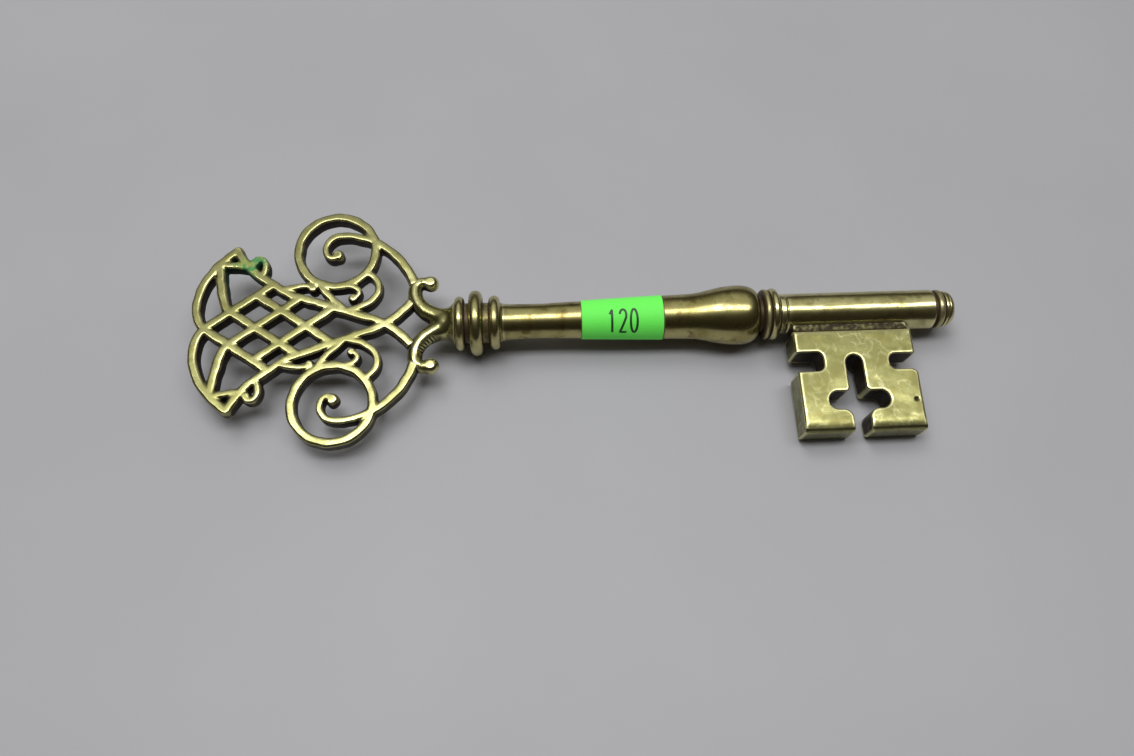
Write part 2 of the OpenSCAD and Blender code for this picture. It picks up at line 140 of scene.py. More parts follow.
def edgeArray(mesh):
    edges = np.zeros(len(mesh.edges) * 2, np.int32)
    mesh.edges.foreach_get("vertices", edges)
    return edges.reshape(-1, 2)


def neighbourSum(values, edges):
    total = np.zeros_like(values)
    np.add.at(total, edges[:, 0], values[edges[:, 1]])
    np.add.at(total, edges[:, 1], values[edges[:, 0]])
    return total


def spread(values, edges, times):
    # Averages a value over a vertex and its neighbours
    count = 1 + neighbourSum(np.ones(len(values)), edges)
    for _ in range(times):
        values = (values + neighbourSum(values, edges)) / count
    return values


def relaxed(places, edges, amount, times):
    # Draws each vertex toward the middle of its neighbours by its own amount, which rounds a hollow corner
    count = neighbourSum(np.ones(len(places)), edges)[:, None]
    for _ in range(times):
        places = places + (neighbourSum(places, edges) / count - places) * amount[:, None]
    return places


def unevenness(mesh, amount, size, seed):
    # Metal poured or filed by hand is never quite true, but it keeps within the size it was made to
    places, normals = vertexArray(mesh), vertexArray(mesh, normals=True)
    shift = Vector((seed * 7.3, seed * 3.1, seed * 5.7))
    lift = np.array([noise.noise(Vector(p) / size + shift)
                     + 0.4 * noise.noise(Vector(p) / (size * 0.3) + shift) for p in places])
    setVertices(mesh, np.clip(places + normals * (lift * amount)[:, None], places.min(0), places.max(0)))


# Pieces wait here until all of them are made, because each one's nooks depend on its neighbours
pieces = []


def keepPiece(name, node, mesh, material, slot, sharpAngle=None, soil=0.0, wallSkinAndShade=0.0):
    # Soil browns the places that no cloth reaches; the wall value darkens the walls as casting skin that no
    # file has touched and as painted shade
    mesh.materials.clear()
    mesh.materials.append(material)
    mesh.shade_smooth()
    if sharpAngle:
        mesh.set_sharp_from_angle(angle=math.radians(sharpAngle))
    pieces.append(dict(name=name, node=node, mesh=mesh, slot=slot, soil=soil, wallSkinAndShade=wallSkinAndShade))
    print(name, "has", sum(len(p.vertices) - 2 for p in mesh.polygons), "triangles")


# Materials
def newMaterial(name):
    # Gives a material, the function that adds nodes to it, and its Object coordinates in millimetres
    material = bpy.data.materials.new(name)
    add = emptied(material)
    place = add("ShaderNodeTexCoord").outputs["Object"]
    return material, add, add("ShaderNodeMapping", {"Vector": place, "Scale": (1000, 1000, 1000)})


def addVerdigris(add, inMm, look, patinaAndShade, colour, rough, metal):
    # Copper salts: a powdery bright green over a dark edge, only where the bow has lain damp
    damp = add("ShaderNodeAttribute", attribute_name="verdigris").outputs["Fac"]
    crumbs = add("ShaderNodeTexNoise", {
        "Vector": inMm, "Scale": 1 / look["crumbSize"], "Detail": 4.0, "Roughness": 0.65})
    clouds = add("ShaderNodeTexNoise", {"Vector": inMm, "Scale": 1 / look["greenSize"], "Detail": 3.0})
    reach = add("ShaderNodeMath", {0: crumbs, 1: look["crumbShare"], 2: damp}, operation="MULTIPLY_ADD")
    crust = add("ShaderNodeMapRange", {
        "Value": reach, "From Min": look["crustStart"], "From Max": look["crustEnd"],
        "To Max": look["verdigris"]}, interpolation_type="SMOOTHSTEP")
    share = add("ShaderNodeMapRange", {"Value": clouds, "From Min": 0.42, "From Max": 0.6},
                interpolation_type="SMOOTHSTEP")
    middle, bright, dark = (linearColour(look["green" + tone]) for tone in ("Middle", "Bright", "Dark"))
    tint = add("ShaderNodeMix", {0: share, 6: middle, 7: bright}, data_type="RGBA")
    # Where that brown layer lies the green darkens, as damp verdigris in the hollows and as painted shade
    tint = add("ShaderNodeMix", {0: patinaAndShade, 6: tint, 7: dark}, data_type="RGBA")
    colour = add("ShaderNodeMix", {0: crust, 6: colour, 7: tint}, data_type="RGBA")
    rough = add("ShaderNodeMath", {0: crust, 1: look["crustRough"], 2: rough}, operation="MULTIPLY_ADD")
    bare = add("ShaderNodeMapRange", {"Value": crust, "To Min": 1.0, "To Max": look["crustMetal"]})
    metal = add("ShaderNodeMath", {0: metal, 1: bare}, operation="MULTIPLY")
    return colour, rough, metal


def brassMaterial(name, look):
    # Each brass differs in tarnish, grain and tool marks; look holds what a user would change, sizes in mm
    material, add, inMm = newMaterial(name)
    nook = add("ShaderNodeAttribute", attribute_name="nook").outputs["Fac"]
    wear = add("ShaderNodeAttribute", attribute_name="wear").outputs["Fac"]
    patterns = {}
    for label, detail, roughness in (("cloud", 4.0, 0.6), ("stain", 3.0, 0.6), ("speck", 5.0, 0.7),
                                     ("grain", 2.0, 0.5), ("wave", 1.0, 0.5)):
        patterns[label] = add("ShaderNodeTexNoise", {
            "Vector": inMm, "Scale": 1 / look[label + "Size"], "Detail": detail, "Roughness": roughness})
    # The nook value is an occlusion from the metal around each spot; with a few specks it places the brown
    # layer, which is patina and painted shade in the hollows
    deep = add("ShaderNodeMath", {0: patterns["speck"], 1: 0.3, 2: nook}, operation="MULTIPLY_ADD")

    # Layers over the bare metal: where each lies, from which value to which, how strong it is, and its colour
    blend = look["tarnishBlend"]
    layers = [("tarnish", patterns["cloud"], 0.5 - blend, 0.5 + blend, look["tarnish"], "dull"),
              ("stain", patterns["stain"], 0.52, 0.68, look["stain"], "stainColour"),
              ("spots", patterns["speck"], 0.58, 0.72, look["spots"], "spotColour"),
              ("patinaAndShade", deep, look["nookStart"], look["nookEnd"], 1.0, "patinaAndShade"),
              # The wear layer lightens convex edges, as rubbed brass and as a painted highlight
              ("wear", wear, look["wearAndGlintStart"], look["wearAndGlintEnd"], look["polishAndGlint"], "wornAndGlint")]
    if "marks" in look:
        # Drops that dried on the face left thin pale outlines
        drops = add("ShaderNodeTexNoise", {
            "Vector": inMm, "Scale": 1 / look["markSize"], "Detail": 1.5, "Distortion": 0.6})
        fromLine = add("ShaderNodeMath", {0: drops, 1: 0.56}, operation="SUBTRACT")
        distance = add("ShaderNodeMath", {0: fromLine}, operation="ABSOLUTE")
        layers.insert(0, ("marks", distance, 0.05, 0.0, look["marks"], "markColour"))
    colour, masks = linearColour(look["bright"]), {}
    for label, source, low, high, strength, code in layers:
        mask = masks[label] = add("ShaderNodeMapRange", {
            "Value": source, "From Min": low, "From Max": high, "To Max": strength},
            interpolation_type="SMOOTHSTEP")
        colour = add("ShaderNodeMix", {0: mask, 6: colour, 7: linearColour(look[code])}, data_type="RGBA")
    rough = look["rough"]
    for label in ("tarnish", "stain", "spots", "patinaAndShade"):
        rough = add("ShaderNodeMath", {0: masks[label], 1: look[label + "Rough"], 2: rough},
                    operation="MULTIPLY_ADD")
    metal = add("ShaderNodeMapRange", {
        "Value": masks["patinaAndShade"], "To Min": 1.0, "To Max": look["patinaAndShadeMetal"]})
    heights = {"grain": patterns["grain"], "wave": patterns["wave"]}
    if "turningSize" in look:
        # Marks of the lathe tool run round the piece; the UV map's V is a hundredth of the mm along it
        uv = add("ShaderNodeUVMap", uv_map="turned")
        along = add("ShaderNodeMapping", {"Vector": uv, "Scale": (1.5, 100, 1)})
        heights["turning"] = add("ShaderNodeTexNoise", {
            "Vector": along, "Scale": 1 / look["turningSize"], "Detail": 2.0, "Roughness": 0.6})
    relief = {}
    for label, height in heights.items():
        depth = look[label + "Depth"] * 0.001
        relief = {"Normal": add("ShaderNodeBump", {"Distance": depth, "Height": height, **relief})}
    if "verdigris" in look:
        colour, rough, metal = addVerdigris(add, inMm, look, masks["patinaAndShade"], colour, rough, metal)
    shader = add("ShaderNodeBsdfPrincipled", {
        "Base Color": colour, "Roughness": rough, "Metallic": metal, **relief})
    add("ShaderNodeOutputMaterial", {"Surface": shader})
    return material


# Yellow brass cast in sand and filed flat: pale olive faces, brown patina and painted shade in the pierced
# walls, and edges bright from rubbing and from a painted highlight
castLook = {
    "bright": "#c4c189", "dull": "#959159", "stainColour": "#857c44", "spotColour": "#6f6636",
    "patinaAndShade": "#2c1f10", "wornAndGlint": "#e0dca6", "cloudSize": 11.0, "stainSize": 3.5, "speckSize": 1.6,
    "grainSize": 0.35, "waveSize": 5.0, "tarnish": 0.75, "tarnishBlend": 0.12, "stain": 0.3, "spots": 0.3,
    "nookStart": 0.22, "nookEnd": 0.5, "wearAndGlintStart": 0.1, "wearAndGlintEnd": 0.5, "polishAndGlint": 0.75, "rough": 0.2,
    "tarnishRough": 0.1, "stainRough": 0.08, "spotsRough": 0.1, "patinaAndShadeRough": 0.3, "patinaAndShadeMetal": 0.4,
    "grainDepth": 0.004, "waveDepth": 0.08,
}
# Turned yellow brass, older and browner than the castings, with fine tool rings, a soft handled shine, and
# light edges that are rubbed brass and a painted highlight
turnedLook = {
    "bright": "#b8b078", "dull": "#8b8048", "stainColour": "#5e4826", "spotColour": "#584626",
    "patinaAndShade": "#3c2a22", "wornAndGlint": "#efe9b4", "cloudSize": 7.0, "stainSize": 3.2, "speckSize": 1.1,
    "grainSize": 0.3, "waveSize": 4.0, "tarnish": 0.65, "tarnishBlend": 0.14, "stain": 0.6, "spots": 0.45,
    "nookStart": 0.4, "nookEnd": 0.72, "wearAndGlintStart": 0.12, "wearAndGlintEnd": 0.6, "polishAndGlint": 0.6, "rough": 0.2,
    "tarnishRough": 0.12, "stainRough": 0.08, "spotsRough": 0.1, "patinaAndShadeRough": 0.25, "patinaAndShadeMetal": 0.5,
    "grainDepth": 0.003, "waveDepth": 0.05, "turningSize": 0.35, "turningDepth": 0.004,
}
castBrass = brassMaterial("castBrass", castLook)
bowBrass = brassMaterial("castBrassVerdigris", dict(
    castLook, bright="#a3a16e", dull="#747246", polishAndGlint=0.6, wearAndGlintStart=0.2, wearAndGlintEnd=0.7, verdigris=0.9,
    greenDark="#163c26", greenMiddle="#8a9c4a", greenBright="#358a48", greenSize=1.3, crumbSize=0.9,
    crumbShare=1.5, crustStart=1.02, crustEnd=1.36, crustRough=0.35, crustMetal=0.15))
bitBrass = brassMaterial("filedBrass", dict(
    castLook, bright="#898759", dull="#6e6b40", stain=0.4, spots=0.4, cloudSize=6.0, speckSize=2.2,
    rough=0.26, waveDepth=0.04, markSize=4.2, marks=0.42, markColour="#c4c294"))
turnedBrass = brassMaterial("turnedBrass", turnedLook)
# The barrel is rubbed brighter than the shank, and the grooved pieces hold old polish and dirt, with painted
# shade, in a lighter brown that reaches further out of the grooves
barrelBrass = brassMaterial("turnedBrassRubbed", dict(
    turnedLook, bright="#d2cc94", dull="#a39a60", tarnish=0.5, stain=0.4, waveDepth=0.09, tarnishRough=0.06))
soiledBrass = brassMaterial("turnedBrassGrooved", dict(
    turnedLook, patinaAndShade="#52442f", nookStart=0.38, nookEnd=0.66))
# Drawn brass rod, smooth and even because it comes through a die
studBrass = brassMaterial("drawnBrassRod", dict(
    castLook, bright="#d9c572", dull="#b59c4e", tarnish=0.3, stain=0.0, spots=0.05, polishAndGlint=0.0, rough=0.22))


def mottledMaterial(name, low, high, clouds, surface, bumpDepth=None):
    # A surface between two near colours; clouds and surface are the inputs of its noise and of its shader
    material, add, inMm = newMaterial(name)
    cloud = add("ShaderNodeTexNoise", {"Vector": inMm, **clouds})
    tint = add("ShaderNodeMix", {0: cloud, 6: linearColour(low), 7: linearColour(high)}, data_type="RGBA")
    shader = add("ShaderNodeBsdfPrincipled", {"Base Color": tint, **surface})
    if bumpDepth:
        bump = add("ShaderNodeBump", {"Distance": bumpDepth * 0.001, "Height": cloud})
        material.node_tree.links.new(bump.outputs["Normal"], shader.inputs["Normal"])
    add("ShaderNodeOutputMaterial", {"Surface": shader})
    return material


# Uncoated fluorescent paper: a flat green with a faint fibre mottle, and a faint painted glow from its
# emission
greenPaper = mottledMaterial(
    "fluorescentPaper", "#62ea52", "#78f866", {"Scale": 1.6, "Detail": 5.0, "Roughness": 0.7},
    {"Roughness": 0.62, "Specular IOR Level": 0.35, "Sheen Weight": 0.15,
     "Emission Color": linearColour("#5cff48"), "Emission Strength": 0.1}, bumpDepth=0.01)
# Roller ink of a hand price stamp: nearly black, a little green where it is thin
stampInk = mottledMaterial(
    "stampInk", "#0c2010", "#1e5a26", {"Scale": 2.2, "Detail": 3.0}, {"Roughness": 0.5})
print("materials made")


# Curves, node trees and skins
def curveObject(name, paths):
    data = bpy.data.curves.new(name, "CURVE")
    data.dimensions = "3D"
    for points, radii, closed in paths:
        spline = data.splines.new("POLY")
        spline.points.add(len(points) - 1)
        places = np.zeros((len(points), 4))
        places[:, :2] = points
        spline.points.foreach_set("co", places.ravel())
        spline.points.foreach_set("radius", radii)
        spline.use_cyclic_u = closed
    return link(bpy.data.objects.new(name, data))


def newTree(name, inputs):
    # A geometry tree for a mesh, which takes curves, sizes and a material by name
    tree = bpy.data.node_groups.new(name, "GeometryNodeTree")
    kinds = {"Geometry": "Geometry", "Paths": "Object", "Finish": "Material"}
    for label in ("Geometry", "Paths", "Finish", *inputs):
        kind = "NodeSocket" + kinds.get(label, "Float")
        tree.interface.new_socket(name=label, in_out="INPUT", socket_type=kind)
    tree.interface.new_socket(name="Geometry", in_out="OUTPUT", socket_type="NodeSocketGeometry")
    add = partial(addNode, tree)
    given = add("NodeGroupInput").outputs
    paths = add("GeometryNodeObjectInfo", {"Object": given["Paths"]}, transform_space="ORIGINAL")
    return tree, add, given, paths.outputs["Geometry"]


def finishTree(add, parts, finish):
    everything = add("GeometryNodeJoinGeometry", {"Geometry": parts})
    real = add("GeometryNodeRealizeInstances", {"Geometry": everything})
    finished = add("GeometryNodeSetMaterial", {"Geometry": real, "Material": finish})
    add("NodeGroupOutput", {"Geometry": finished})


def useTree(obj, tree, values):
    modifier = obj.modifiers.new(tree.name, "NODES")
    modifier.node_group = tree
    for item in tree.interface.items_tree:
        if item.item_type == "SOCKET" and item.in_out == "INPUT" and item.name in values:
            modifier[item.identifier] = values[item.name]


def fused(name, base, voxel, tree=None, paths=(), values=None):
    # One skin over overlapping bodies, as the metal of a casting runs together
    carrier, curves = link(bpy.data.objects.new(name, base)), curveObject(name + "Paths", paths)
    if tree:
        useTree(carrier, tree, dict(values, Paths=curves))
    remesh = carrier.modifiers.new("fuse", "REMESH")
    remesh.mode = "VOXEL"
    remesh.voxel_size = voxel
    remesh.adaptivity = 0
    soften = carrier.modifiers.new("soften", "SMOOTH")
    soften.factor = 0.5
    soften.iterations = 3
    mesh = bpy.data.meshes.new_from_object(carrier.evaluated_get(bpy.context.evaluated_depsgraph_get()))
    for obj in (carrier, curves):
        bpy.data.objects.remove(obj)
    bpy.data.meshes.remove(base)
    mesh.name = name + "Form"
    return mesh


# Turned pieces: an outline of radius and place along the axis is spun round it
def bead(r, x, width):
    return arc((r - width / 2, x), width / 2, -90, 90, 28)


def softCorners(outline, size, steps=5):
    # Replaces each sharp corner of an outline with a small curve
    points = [np.array(p, float) for p in outline]
    result = [points[0]]
    for before, at, after in zip(points, points[1:], points[2:]):
        a, b = before - at, after - at
        la, lb = np.linalg.norm(a), np.linalg.norm(b)
        turn = math.degrees(math.acos(np.clip(np.dot(a, b) / max(la * lb, 1e-9), -1, 1)))
        if turn > 160 or min(la, lb) < 1e-6:
            result.append(at)
            continue
        start, end = at + a / la * min(size, la * 0.45), at + b / lb * min(size, lb * 0.45)
        t = np.linspace(0, 1, steps + 1)[:, None]
        result += list((1 - t) ** 2 * start + 2 * t * (1 - t) * at + t * t * end)
    return result + [points[-1]]


def evenSteps(outline, longest):
    # Splits long straight runs, so the piece can take unevenness and nook shading
    result = [np.array(outline[0], float)]
    for p, q in zip(outline, outline[1:]):
        p, q = np.array(p, float), np.array(q, float)
        parts = max(1, math.ceil(np.linalg.norm(q - p) / longest))
        result += [p + (q - p) * i / parts for i in range(1, parts + 1)]
    return result


def turned(name, outline, segments=160):
    # An outline that starts and ends on the axis is closed by poles, any other is a loop round a bore
    poles = outline[0][0] < 1e-6 and outline[-1][0] < 1e-6
    rows = [p for p in outline if p[0] > 1e-6]
    angles = np.linspace(0, 2 * math.pi, segments, endpoint=False)
    places = [(x, r * math.cos(a), r * math.sin(a)) for r, x in rows for a in angles]
    faces, uvs = [], []
    count = len(rows)
    for i in range(count - 1 if poles else count):
        k = (i + 1) % count
        x0, x1 = rows[i][1], rows[k][1]
        for j in range(segments):
            m = (j + 1) % segments
            faces.append((i * segments + j, i * segments + m, k * segments + m, k * segments + j))
            uvs += [(j, x0), (j + 1, x0), (j + 1, x1), (j, x1)]
    if poles:
        for row, x in ((0, outline[0][1]), (count - 1, outline[-1][1])):
            places.append((x, 0, 0))
            for j in range(segments):
                faces.append((row * segments + j, row * segments + (j + 1) % segments, len(places) - 1))
                uvs += [(j, x), (j + 1, x), (j + 0.5, x)]
    mesh = bpy.data.meshes.new(name)
    mesh.from_pydata(places, [], faces)
    layer = mesh.uv_layers.new(name="turned")
    layer.data.foreach_set("uv", (np.array(uvs) * (1 / segments, 0.01)).ravel())
    form = bmesh.new()
    form.from_mesh(mesh)
    bpy.data.meshes.remove(mesh)
    return meshOf(form, name)


def keepTurned(name, node, material, outline, size, soilFade=None):
    # Spins an outline into a piece; the soil lies on one side of the place where it fades
    if outline[0][0] > 0:
        outline = evenSteps([*outline, outline[0]], size["meshStep"])[:-1]
    else:
        outline = evenSteps(outline, size["meshStep"])
    mesh = turned(node, outline)
    unevenness(mesh, *size["uneven"])
    soil = size["soil"] * smoothStep(vertexArray(mesh)[:, 0], *soilFade) if soilFade else 0.0
    keepPiece(name, node, mesh, material, "turned_brass", sharpAngle=50, soil=soil)


# Scroll bracket: two C-scrolls and the flared neck, run together in the mould
scrollSize = {"crown": 14.4, "radius": 1.9, "rootSwell": 1.1, "endTaper": 0.16, "depth": 1.2, "ball": 2.4,
              "ballFlat": 0.45, "neck": 4.1, "flare": 6.1, "boreR": 2.55, "boreDepth": 5.0, "nickDepth": 0.36,
              "nickPitch": 1.15, "nickSpan": (3.2, 4.4, 10.6, 11.6), "nickTilt": (8, 26, 58, 74),
              "rootSpan": (-2.6, -1.2, 4.2, 6.2), "voxel": 0.2, "wallSkinAndShade": 0.14,
              "uneven": (0.025, 3.0, 7)}      # uneven is an amount, a size and a seed for every piece


def scrollPath(size):
    back, v, crown, r = key["scrollBack"], key["scrollV"], size["crown"], size["radius"]
    return joined(
        bezier((v + 3.4, 1.5), (v - 0.6, 2.4), (back + r - 0.1, 5.4), (back + r, 9.4), 24),
        bezier((back + r, 9.4), (back + r, crown - 2.6), (back + 3.4, crown - 1.6),
               (back + 6.2, crown - 2.3), 18))


def neckOutline(size):
    v, end, neck, flare, bore = key["scrollV"], key["collarStart"], size["neck"], size["flare"], size["boreR"]
    curve = joined(
        bezier((1.2, v + 0.3), (2.6, v + 0.6), (neck - 0.4, v + 1.6), (neck, v + 3.4), 10),
        bezier((neck, v + 3.4), (neck + 0.1, end - 1.7), (flare - 0.9, end - 0.8), (flare, end), 14))
    return [(0, v + 0.3), *curve, (bore, end), (bore, end - size["boreDepth"]), (0, end - size["boreDepth"])]


def scrollTree():
    # Round rods along paths, deeper than wide, with a ball at each far end, joined to the given body
    tree, add, given, paths = newTree("scrollRods", ["Depth", "Ball radius"])
    circle = add("GeometryNodeCurvePrimitiveCircle", {"Resolution": 28, "Radius": 1.0})
    upright = add("GeometryNodeSetCurveNormal", {"Curve": paths}, mode="Z_UP")
    radius = add("GeometryNodeInputRadius")
    swept = add("GeometryNodeCurveToMesh", {
        "Curve": upright, "Profile Curve": circle, "Scale": radius, "Fill Caps": True})
    stretch = add("ShaderNodeCombineXYZ", {"X": 1.0, "Y": 1.0, "Z": given["Depth"]})
    deep = add("GeometryNodeTransform", {"Geometry": swept, "Scale": stretch})
    ends = add("GeometryNodeCurveEndpointSelection", {"Start Size": 0, "End Size": 1})
    ball = add("GeometryNodeMeshUVSphere", {"Segments": 40, "Rings": 20, "Radius": given["Ball radius"]})
    balls = add("GeometryNodeInstanceOnPoints", {"Points": paths, "Selection": ends, "Instance": ball})
    finishTree(add, [given["Geometry"], deep, balls], given["Finish"])
    return tree


def fileScrolls(mesh, path, size):
    # The end of each scroll is filed to a small flat, and a graver has nicked the lower one's hollow side
    places, normals = vertexArray(mesh), vertexArray(mesh, normals=True)
    side = np.column_stack([places[:, 0], np.abs(places[:, 1])])
    nearest = np.argmin(((side[:, None] - path) ** 2).sum(2), axis=1)
    direction = np.gradient(path, axis=0)
    direction /= np.linalg.norm(direction, axis=1)[:, None]
    ahead, fromPath = direction[nearest], side - path[nearest]
    across = fromPath[:, 0] * ahead[:, 1] - fromPath[:, 1] * ahead[:, 0]
    tilt = np.degrees(np.arctan2(places[:, 2], across))
    length = np.concatenate([[0], np.cumsum(np.linalg.norm(np.diff(path, axis=0), axis=1))])
    along = length[nearest] + (fromPath * ahead).sum(1)
    pulse = np.clip(np.cos(2 * math.pi * (along - 0.25 * places[:, 2]) / size["nickPitch"]), 0, 1) ** 2
    nicks = pulse * hump(along, *size["nickSpan"]) * hump(tilt, *size["nickTilt"]) * (places[:, 1] < 0)
    places -= normals * (size["nickDepth"] * nicks)[:, None]
    flat = size["ball"] - size["ballFlat"]
    top = (np.linalg.norm(side - path[-1], axis=1) < size["ball"]) & (places[:, 2] > flat)
    places[top, 2] = flat + (places[top, 2] - flat) * 0.12
    setVertices(mesh, places)


def makeScrollBracket(size):
    path = scrollPath(size)
    u = np.linspace(0, 1, len(path))
    radii = size["radius"] + size["rootSwell"] * (1 - u) ** 3
    radii *= 1 - size["endTaper"] * smoothStep(u, 0.76, 0.94)
    mesh = fused("bracket", turned("neck", neckOutline(size), 96), size["voxel"], scrollTree(),
                 [(path, radii, False), (path * (1, -1), radii, False)],
                 {"Depth": size["depth"], "Ball radius": size["ball"], "Finish": castBrass})
    # Metal fills the corners where the scrolls spring from the neck
    places = vertexArray(mesh)
    root = hump(places[:, 0] - key["scrollV"], *size["rootSpan"])
    setVertices(mesh, relaxed(places, edgeArray(mesh), root * 0.8, 40))
    fileScrolls(mesh, path, size)
    unevenness(mesh, *size["uneven"])
    keepPiece("keyScrollBracket", "scroll_bracket", mesh, castBrass, "cast_brass", wallSkinAndShade=size["wallSkinAndShade"])


makeScrollBracket(scrollSize)


# Bow: every strap is a path in the plane of the casting, and its radius is half the strap's width
bowSize = {"width": 68.0, "thickness": 4.4, "rim": 2.7, "trellis": 2.8, "strap": 2.2, "ringR": 10.6,
           "earY": 23.0, "trellisAngle": 35.0, "edgeRound": 0.8, "cornerShare": 0.52, "wobble": 0.2,
           "wobbleSize": 2.6, "wobbleSeed": 9, "voxel": 0.31, "uneven": (0.03, 5.0, 1), "wallSkinAndShade": 0.3}


def bowPaths(size):
    ringC = np.array([key["junction"] - 15.3, size["width"] / 2 - size["ringR"] - size["rim"] / 2])
    ear = np.array([key["notch"] + 7.5, size["earY"]])
    run = math.tan(math.radians(size["trellisAngle"]))
    bowLength = key["junction"] - key["notch"]
    pitch = bowLength * 0.27
    waist = np.array([key["notch"] + bowLength * 0.445, 9.3])
    earBase = waist + (-8.6, 8.6 * run)
    junction, notch = np.array([key["junction"], 0.0]), np.array([key["notch"], 0.0])
    onRing = ((14, 0.2), (-38, 0), (245, 0), (282, 0))      # degrees round the ring, and mm outside it
    armCross, loopHead, bridgeHead, leafRoot = (
        arc(ringC, size["ringR"] + more, angle, angle, 0)[0] for angle, more in onRing)
    saddle = (key["scrollBack"] + scrollSize["radius"], scrollSize["crown"] - scrollSize["radius"] - 1.2)
    innerSaddle = (key["scrollBack"] + 1.2, -6.3)
    rim = bezier(notch, notch + (-4.6, 5.5), notch + (-2.8, 15.5), ear, 24)
    earStrap = bezier(ear, ear + (1.6, -3), earBase + (-2.4, 2), earBase, 15)
    strapBend = waist * 0.25 + junction * 0.75 - (0, 0.2)
    sideStrap = np.array([earBase, waist, strapBend])
    crossStrap = bezier(strapBend, junction + (-1.5, 0.6), junction + (2, -2.4), innerSaddle, 14)
    earBar = np.array([rim[20], earStrap[9]])
    hook = bezier(earBase + (0.8, -0.6), earBase + (2.2, 1.6), earBase + (2.4, 6), earBase + (-1.2, 4.9), 18)
    horn = bezier(waist + (-2.6, 1.2), waist + (1, 2.1), waist + (4.2, 3.2), waist + (6.4, 2), 14)
    arm = bezier(saddle, np.add(saddle, (-1.4, 4.8)), armCross + (5.8, -3.2), armCross, 24)
    bend = ringC + (-3, 1.6)
    volute = joined(bezier(armCross, armCross + (-5, 2.2), bend + (1.4, 5), bend, 18),
                    bezier(bend, bend + (-0.8, -3), ringC + (-1.4, -3), ringC + (0.4, -1.4), 12))
    loopFoot = (waist + junction) / 2
    loop = bezier(loopFoot + (0.6, -0.6), loopFoot + (10.2, 0.4), loopHead + (6.2, -4.2), loopHead, 24)
    bridge = bezier(bridgeHead, ringC + (-3, -12.6), loopFoot + (-1.8, 2.4), loopFoot + (1.8, -0.8), 12)
    leaf = bezier(leafRoot, ringC + (5.2, -10.4), ringC + (8.2, -12.6), ringC + (4.6, -14.6), 14)
    ring = arc(ringC, size["ringR"], 0, 355, 71)
    curls = [(ear, 1.4), (hook[-1] + (0, -0.8), 1.5), (horn[-1] + (-0.3, -0.3), 1.4),
             (volute[-1] + (-0.2, 0.3), 1.8), (leaf[-1] + (0.1, 0.3), 1.4)]

    # Three trellis straps rise from the first one of the other slant; the middle one bends to the lower ear
    panelEdge = joined(earStrap, sideStrap)
    runs = []
    for i in range(3):
        foot = key["notch"] + i * pitch
        over = panelEdge[:, 1] - run * (panelEdge[:, 0] - foot)
        k = int(np.argmax(over[:-1] * over[1:] <= 0))
        meet = panelEdge[k] + (panelEdge[k + 1] - panelEdge[k]) * over[k] / (over[k] - over[k + 1])
        runs.append(np.array([(key["notch"] + i * pitch / 2, -run * i * pitch / 2), meet]))
    root, crossing = rim[20] * (1, -1), runs[1][0]
    earRun = bezier(root, root + (0.3, 5), crossing - (2.4, 2.4 * run), crossing, 16)
    rimW, strapW, trellisW = size["rim"], size["strap"], size["trellis"]
    straps = [(rim, rimW, rimW), (joined(earStrap, sideStrap, crossStrap), rimW, rimW),
              (earBar, strapW, strapW), (hook, strapW, strapW * 0.8), (horn, strapW, strapW * 0.7),
              (joined(arm, volute), rimW * 1.1, strapW * 0.8), (loop, strapW, strapW),
              (bridge, strapW, strapW), (leaf, strapW, strapW * 0.7), (runs[0], trellisW, trellisW),
              (joined(earRun, runs[1]), trellisW, trellisW), (runs[2], trellisW, trellisW)]
    paths = []
    for flip in (1, -1):
        paths += [(p * (1, flip), np.linspace(w0, w1, len(p)) / 2, False) for p, w0, w1 in straps]
        paths.append((ring * (1, flip), np.full(len(ring), rimW / 2), True))
        paths += [(np.array([place]) * (1, flip), np.array([radius]), False) for place, radius in curls]
    # The damp spots on one ear: each one's middle, its reach, and how much of it lies on the faces
    spots = [(hook[-1] + (0.6, -0.4), 5.4, 0.85), (earBase + (-2.5, 1.5), 5.0, 0.7),
             (ear + (1.8, -5.5), 5.4, 0.75), (ear + (2.6, -7.0), 10.5, 0.3)]
    return paths, spots


